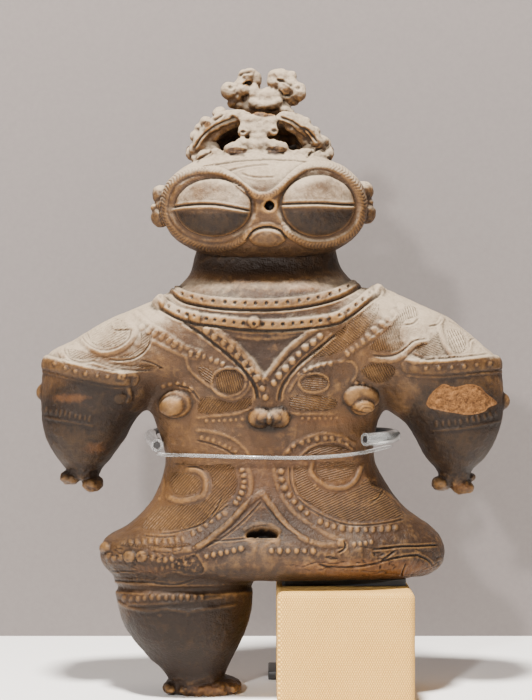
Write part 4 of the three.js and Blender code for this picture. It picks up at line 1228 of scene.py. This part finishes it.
def fired_clay():
    """Low-fired clay, dark brown below from smoke and painted shade, dusty on top, golden where rubbed and
    with painted highlights on ridges, painted shade in hollows and cuts, orange where the skin has gone.
    """
    clay = Finish("fired_clay")
    height = clay.parts(clay.places())[2]
    upward = clay.parts(clay.node("NewGeometry", output="Normal"))[2]
    ridge_wear_highlight_hollow_shade, dark = clay.attribute("ridge_wear_highlight_hollow_shade"), clay.attribute("dark")
    bare, stain, pale = clay.attribute("bare"), clay.attribute("stain"), clay.attribute("pale")
    weave = clay.parts(clay.attribute("weave", "Vector"))
    cloud = clay.noise(14, 4, 0.6)
    patch = clay.noise(50, 5, 0.62)
    speck = clay.noise(420, 3, 0.6)
    grain = clay.noise(1300, 2, 0.6)
    brown = clay.mix(cloud.step(0.35, 0.65), DARK_BROWN, WARM_BROWN)
    brown = clay.mix(patch.step(0.45, 0.7) * 0.5, brown, GREY_BROWN)
    marks = (weave[0] + patch * 2.5).wave() * 0.4 + 0.6
    rows = (weave[1] + cloud * 2.5 + patch * 0.8 + speck * 0.5).wave()
    hatch = weave[2] * marks * rows
    golden = (height - GOLDEN_HEIGHT).step(0.0, 0.05) * 0.06
    # Golden clay where rubbed, which is also a painted highlight on ridges and on the rows of cord marks.
    gold = (ridge_wear_highlight_hollow_shade * 1.9 + speck * 0.8 + patch * 0.6 - 0.76 + golden).clamped() + hatch * 0.36
    # The smoked clay together with the painted shade, which also dims the golden clay.
    smoke_and_shade = (clay.attribute("smoke_and_shade") * 1.2 + cloud * 0.5 - 0.25).clamped()
    gold = gold * (1.0 - smoke_and_shade * 0.8)
    brown = clay.mix(smoke_and_shade, brown, SMOKED_AND_SHADED)
    brown = clay.mix((gold * 0.62).clamped(), brown, WORN_GOLD_AND_HIGHLIGHT)
    rust = (stain + speck * 0.5 + patch * 0.7 - 0.7).step(0.1, 0.7)
    brown = clay.mix(rust * 0.5, brown, RUST)
    dust = upward * 0.85 + patch * 0.8 + speck * 0.3 + (height - DUSTY_HEIGHT) * 3.0 + pale - 1.0
    dust = dust.step(-0.12, 0.66)
    dusty = clay.mix((speck * 0.6 + patch * 0.6 - 0.1).clamped(), THIN_DUST, THICK_DUST)
    colour = clay.mix(dust * 0.92, brown, dusty)
    gone = (bare + patch * 0.5 + speck * 0.2 - 0.30).step(0.30, 0.40)
    raw = clay.mix((speck * 0.5 + grain * 0.5 + patch * 0.4 - 0.2).step(0.3, 0.7), RAW_BROWN, RAW_ORANGE)
    colour = clay.mix(gone, colour, raw)
    # Painted shade in cuts, in hollows and between the rows of cord marks.
    deep = (dark * 0.7 + (0.0 - ridge_wear_highlight_hollow_shade) * 1.5 + weave[2] * (1.0 - rows) * (0.22 - dust * 0.14)).clamped()
    colour = clay.mix(deep * 0.85, colour, CUT_SHADE)
    hollow = (dark - 1.0).clamped() * 1.6
    colour = clay.mix(hollow.clamped(), colour, HOLE_SHADE)
    rough = (0.50 + dust * 0.32 + gone * 0.35 + speck * 0.12 - cloud * 0.14).clamped()
    relief = grain * 0.35 + speck * 0.7 + hatch * 0.9 + patch * 0.6
    normal = clay.bump(relief, 0.0009)
    return clay.set(Base_Color=colour, Roughness=rough, Normal=normal, Specular_IOR_Level=0.2)


# The cloth's threads a metre, and the colours between its threads, on them and where it is cleaner.
THREADS = 1 / 0.00125
CLOTH_SHADE, CLOTH_CREAM, CLOTH_CLEAN = (0.42, 0.185, 0.022), (1.0, 0.65, 0.185), (0.98, 0.62, 0.18)


def block_cloth():
    """Cream cloth of a coarse even weave, stretched over the block."""
    cloth = Finish("block_cloth")
    x, y, z = cloth.parts(cloth.places())
    on_top = cloth.parts(cloth.node("NewGeometry", output="Normal"))[2].step(0.6, 0.8)
    across = (x + y * (1.0 - on_top)) * THREADS
    rows = (z * (1.0 - on_top) + y * on_top) * THREADS
    weft = (across + rows * 0.5).wave()
    warp = (across - rows * 0.5).wave()
    weave = weft * warp
    cloud = cloth.noise(60, 3, 0.5)
    fibre = cloth.noise(2500, 2, 0.5)
    colour = cloth.mix((weave * 1.1 + fibre * 0.4 - 0.1).clamped(), CLOTH_SHADE, CLOTH_CREAM)
    colour = cloth.mix(cloud * 0.2, colour, CLOTH_CLEAN)
    normal = cloth.bump(weave + fibre * 0.2, 0.00035)
    return cloth.set(Base_Color=colour, Roughness=0.95 - weave * 0.1, Normal=normal)


def black_pad():
    """Matt black rubber with a fine grain."""
    pad = Finish("black_pad")
    grain = pad.noise(900, 4, 0.7)
    colour = pad.mix(grain, (0.006, 0.006, 0.007), (0.022, 0.021, 0.021))
    return pad.set(Base_Color=colour, Roughness=0.75 + grain * 0.2, Normal=pad.bump(grain, 0.0003))


def black_steel():
    """Satin black paint on steel."""
    steel = Finish("black_steel")
    grain = steel.noise(700, 3, 0.6)
    smear = steel.noise(70, 3, 0.6)
    colour = steel.mix(smear, (0.008, 0.008, 0.009), (0.022, 0.022, 0.024))
    return steel.set(Base_Color=colour, Roughness=0.34 + smear * 0.2, Normal=steel.bump(grain, 0.00005))


def clear_plastic(name, tint):
    """Clear plastic, a little scuffed."""
    plastic = Finish(name)
    scuff = plastic.noise(120, 2, 0.5)
    colour = plastic.mix(scuff, tint, (0.95, 0.96, 0.96))
    roughness = 0.04 + scuff * 0.06
    return plastic.set(Base_Color=colour, Roughness=roughness, IOR=1.40, Transmission_Weight=0.88)


# The supports. ROD, POST and LINE are diameters in metres, and the sleeve's bore and outside are radii.
ROD = 0.0034
SLEEVE_BORE = ROD / 2 + 0.0003
SLEEVE_OUTER = SLEEVE_BORE + 0.0015
SLEEVE_LENGTH = 0.034
LINE = 0.002
LINE_GAP = 0.0005
POST = 0.007
STAND_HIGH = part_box("stand")[1]
# The post: its place to the right of the axis, how far inside the stand's back it is, and its fork's height.
POST_RIGHT, POST_INSET, FORK_HEIGHT = 0.029, 0.0025, 412
# The foot's plate: where it starts beside the axis, how far behind the block, how wide and how thick.
FOOT_LEFT, FOOT_GAP, FOOT_WIDTH, FOOT_THICKNESS = -0.001, 0.0025, 0.06, 0.005
# The fork's rods, from the free ends back to the post, in thousandths of the height.
PRONGS = {
    "left": [(-179.5, -35, 396), (-185.5, -6, 400), (-193.5, 41, 405), (-193, 99.5, 410), (-158, 165, 412)],
    "right": [(148.5, -79, 407.5), (177, -55.5, 408), (196, -11.5, 409), (206, 47, 411), (187, 142, 412)],
}
# The block's rounded edge, and how far its cloth sags on top: in all, and in soft waves, in metres.
BLOCK_EDGE, SAG, SAG_WAVES = 0.0035, 0.00025, 0.00022


def clad(piece, slot, material, *nodes):
    """The piece's finish, the body that it rides on and the nodes that it stands for."""
    piece.data.materials.clear()
    piece.data.materials.append(material)
    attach(piece, "root")
    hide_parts(*nodes)
    return piece


def shaded_smooth(piece, angle=35):
    """The piece shaded smoothly, but for edges of more than an angle in degrees."""
    mesh = piece.data
    mesh.polygons.foreach_set("use_smooth", np.ones(len(mesh.polygons), bool))
    mesh.set_sharp_from_angle(angle=math.radians(angle))
    return piece


def rounded_block(name, low, high, edge, segments):
    """A block between two corners, with rounded edges."""
    corners = list(itertools.product(*zip(low, high)))
    faces = [(0, 1, 3, 2), (4, 6, 7, 5), (0, 4, 5, 1), (2, 3, 7, 6), (0, 2, 6, 4), (1, 5, 7, 3)]
    piece = new_object(name, corners, faces)
    return with_modifier(piece, "BEVEL", width=edge, segments=segments, limit_method="NONE")


def make_block():
    """The block, its top a little uneven under the cloth."""
    piece = rounded_block("support_block_cloth", BLOCK_LOW, BLOCK_HIGH, BLOCK_EDGE, 6)
    with_modifier(piece, "SUBSURF", subdivision_type="SIMPLE", levels=3, render_levels=3)
    mesh = piece.data
    points = points_of(mesh)
    high = soft_step(points[:, 2], BLOCK_HIGH.z * 0.35, BLOCK_HIGH.z)
    waves = np.sin(points[:, 0] * 92) * np.sin(points[:, 1] * 77 + 1) * SAG_WAVES
    points[:, 2] -= high * (SAG + waves)
    points[:, 2] = np.maximum(points[:, 2], 0)
    set_points(mesh, points)
    return shaded_smooth(piece, 60)


def prong_route(side):
    """A rod of the fork, from its free end to the middle of the post."""
    post = [POST_RIGHT + AXIS[0], STAND_HIGH.y - POST_INSET - POST / 2, FORK_HEIGHT * SHARE]
    return np.vstack([place(PRONGS[side]), post])


def part_of(route, start, end, steps):
    """Evenly spaced points along part of a smooth route, between two distances from its first point."""
    line = spline(route, 24)
    along = np.concatenate([[0], np.cumsum(np.linalg.norm(np.diff(line, axis=0), axis=1))])
    wanted = np.linspace(start, min(end, along[-1]), steps)
    return np.stack([np.interp(wanted, along, line[:, k]) for k in range(3)], 1)


def make_stand():
    """The foot, the post and the fork's two rods, in one piece of steel."""
    left = AXIS[0] + FOOT_LEFT
    low = (left, BLOCK_HIGH.y + FOOT_GAP, 0)
    high = (left + FOOT_WIDTH, STAND_HIGH.y, FOOT_THICKNESS)
    plate = rounded_block("stand_foot", low, high, 0.0008, 3)
    across, deep, _ = prong_route("left")[-1]
    levels = (0.001, 0.05, 0.1, STAND_HIGH.z)
    post = rod([(across, deep, level) for level in levels], [POST / 2] * 4, 32, 4, False)
    prongs = [rod(part_of(prong_route(side), 0, 1, 40), [ROD / 2] * 40, 20, 1, False) for side in PRONGS]
    skins = [(points_of(plate.data), [tuple(face.vertices) for face in plate.data.polygons]), post, *prongs]
    piece = joined("stand_steel", skins)
    bpy.data.objects.remove(plate)
    return shaded_smooth(piece)


def make_sleeve(side):
    """A clear tube over the end of a rod, its ends cut square."""
    line = part_of(prong_route(side), 0, SLEEVE_LENGTH, 28)
    sides = 32
    outer, inner = (rod(line, [radius] * len(line), sides, 1, False)[0].reshape(-1, sides, 3)
                    for radius in (SLEEVE_OUTER, SLEEVE_BORE))
    rings = np.concatenate([outer, inner[::-1]])
    faces = []
    for row in range(len(rings)):
        this, following = row * sides, (row + 1) % len(rings) * sides
        for corner in range(sides):
            beside = (corner + 1) % sides
            faces.append((this + corner, this + beside, following + beside, following + corner))
    piece = new_object(f"clear_sleeve_{side}", rings.reshape(-1, 3), faces)
    return shaded_smooth(piece, 50)


# The waist line lies on the skin between the sleeves: places seen from the front, in shares.
LINE_ROUTE = [(-162, 381), (-150, 381.5), (-130, 382), (-100, 382), (-50, 381), (0, 380), (50, 379.5),
              (90, 381), (118, 383), (138, 385), (153, 387)]
# How far along each sleeve the line is tied, in metres.
LEFT_TIE, RIGHT_TIE = 0.002, 0.028


def under_sleeve(side, far):
    """The middle of the line where it passes under a sleeve."""
    place_on_rod = part_of(prong_route(side), far, far + 0.001, 2)[0]
    return place_on_rod - (0, 0, SLEEVE_OUTER + LINE_GAP + LINE / 2)


def trunk_depth(x, z):
    """How far the waist's skin stands in front of the axis."""
    rows = np.array([row[:4] for row in TRUNK])[::-1]
    left, right, half = (np.interp(z, rows[:, 0], rows[:, k]) for k in (1, 2, 3))
    across = abs(2 * x - left - right) / (right - left)
    return half * (1 - min(across, 0.999) ** BODY_ROUNDNESS) ** (1 / BODY_ROUNDNESS)


def make_waist_line():
    """The line from sleeve to sleeve, on the skin of the waist between them."""
    front = []
    for x, z in LINE_ROUTE:
        slope = (trunk_depth(x + 2, z) - trunk_depth(x - 2, z)) / 4
        out = np.array([-slope, -1, 0]) / math.hypot(slope, 1)
        front.append(place((x, -trunk_depth(x, z), z)) + out * (LINE / 2 + LINE_GAP))
    route = np.vstack([under_sleeve("left", LEFT_TIE), front, under_sleeve("right", RIGHT_TIE)])
    line = rod(route, [LINE / 2] * len(route), 16, 6)
    return shaded_smooth(joined("clear_waist_line", [line]), 60)


def clear_from_behind(plain):
    """Makes the backdrop clear from its back, so that it doesn't hide the figure in views from behind."""
    behind = plain.node("NewGeometry", output="Backfacing")
    solid = Term(plain, plain.shader.outputs[0])
    both = plain.node("MixShader", sockets={0: behind, 1: solid, 2: plain.node("BsdfTransparent")})
    plain.feed(plain.tree.nodes["Material Output"].inputs["Surface"], both)


# How far the stage reaches, and how far behind the figure's axis the backdrop stands: where its foot shows
# in the photograph.
STAGE_REACH = 3
WALL_BACK = AXIS[1] + 0.191
FLOOR_COLOURS = (0.85, 0.825, 0.81), (0.90, 0.875, 0.86)
WALL_COLOURS = (0.148, 0.129, 0.125), (0.176, 0.154, 0.149)


def make_stage():
    """A plain pale floor and a plain grey wall behind."""
    low, high = -STAGE_REACH, STAGE_REACH
    floor = [(low, low, 0), (high, low, 0), (high, high, 0), (low, high, 0)]
    wall = [(low, WALL_BACK, 0), (high, WALL_BACK, 0), (high, WALL_BACK, high), (low, WALL_BACK, high)]
    for name, corners, colours in (("floor", floor, FLOOR_COLOURS), ("wall", wall, WALL_COLOURS)):
        piece = new_object(name, corners, [(0, 1, 2, 3)])
        plain = Finish(name + "_plain")
        colour = plain.mix(plain.noise(350, 3, 0.6), *colours)
        piece.data.materials.append(plain.set(Base_Color=colour, Roughness=0.9))
        if name == "wall":
            clear_from_behind(plain)


def aim(lamp, target):
    """Turns a lamp so that it shines at a place."""
    way = np.asarray(target) - np.asarray(lamp.location)
    flat = math.hypot(way[0], way[1])
    lamp.rotation_euler = (math.pi / 2 + math.atan2(way[2], flat), 0, math.atan2(-way[0], way[1]))


# Lamps: name, place from the axis, size, watts and colour. They shine at the middle of the figure.
LAMPS = [
    ("overhead_lamp", (-0.11, -0.56, 1.55), 0.20, 92, (1.0, 0.965, 0.90)),
    ("left_lamp", (-0.46, -1.50, 0.63), 0.09, 27, (1.0, 0.97, 0.93)),
    ("front_fill", (-0.7, -1.5, 0.50), 0.9, 0.4, (1.0, 0.97, 0.94)),
]
AIM_HEIGHT = HEIGHT * 0.55
ROOM_LIGHT, ROOM_STRENGTH = (0.85, 0.87, 0.9, 1), 0.024


def add_lamp(name, spot, size, watts, colour):
    light = bpy.data.lights.new(name, "AREA")
    light.shape = "DISK"
    light.size = size
    light.energy = watts
    light.color = colour
    lamp = bpy.data.objects.new(name, light)
    bpy.context.scene.collection.objects.link(lamp)
    lamp.location = AXIS + spot
    aim(lamp, AXIS + (0, 0, AIM_HEIGHT))


def add_lights():
    """The lamps, and a faint light from the whole room."""
    for lamp in LAMPS:
        add_lamp(*lamp)
    world = bpy.data.worlds.new("studio")
    world.use_nodes = True
    background = world.node_tree.nodes["Background"]
    background.inputs["Color"].default_value = ROOM_LIGHT
    background.inputs["Strength"].default_value = ROOM_STRENGTH
    bpy.context.scene.world = world


def add_camera():
    """A level camera in front of the figure, as in the photograph."""
    camera = bpy.data.objects.new("camera", bpy.data.cameras.new("camera"))
    bpy.context.scene.collection.objects.link(camera)
    camera.location = CAMERA
    camera.rotation_euler = (math.pi / 2, 0, 0)
    camera.data.sensor_width = SENSOR
    camera.data.lens = FOCAL_PIXELS * SENSOR / PHOTO_HEIGHT
    bpy.context.scene.camera = camera


add_camera()
add_lights()
make_stage()

clay = fired_clay()
for half in make_body():
    clad(half, "fired_clay", clay, "dogu_figurine")
clad(make_head(), "fired_clay", clay, "dogu_figurine")
clad(make_block(), "block_cloth", block_cloth(), "support_block")
clad(make_stand(), "black_steel", black_steel(), "stand")
tube = clear_plastic("clear_tube", (0.86, 0.88, 0.88))
for side in PRONGS:
    clad(make_sleeve(side), "clear_tube", tube, f"sleeve_{side}")
clad(make_waist_line(), "clear_line", clear_plastic("clear_line", (0.9, 0.9, 0.9)), "waist_line")
pad_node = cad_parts["rest_pad"]
pad_node.data.materials.clear()
pad_node.data.materials.append(black_pad())
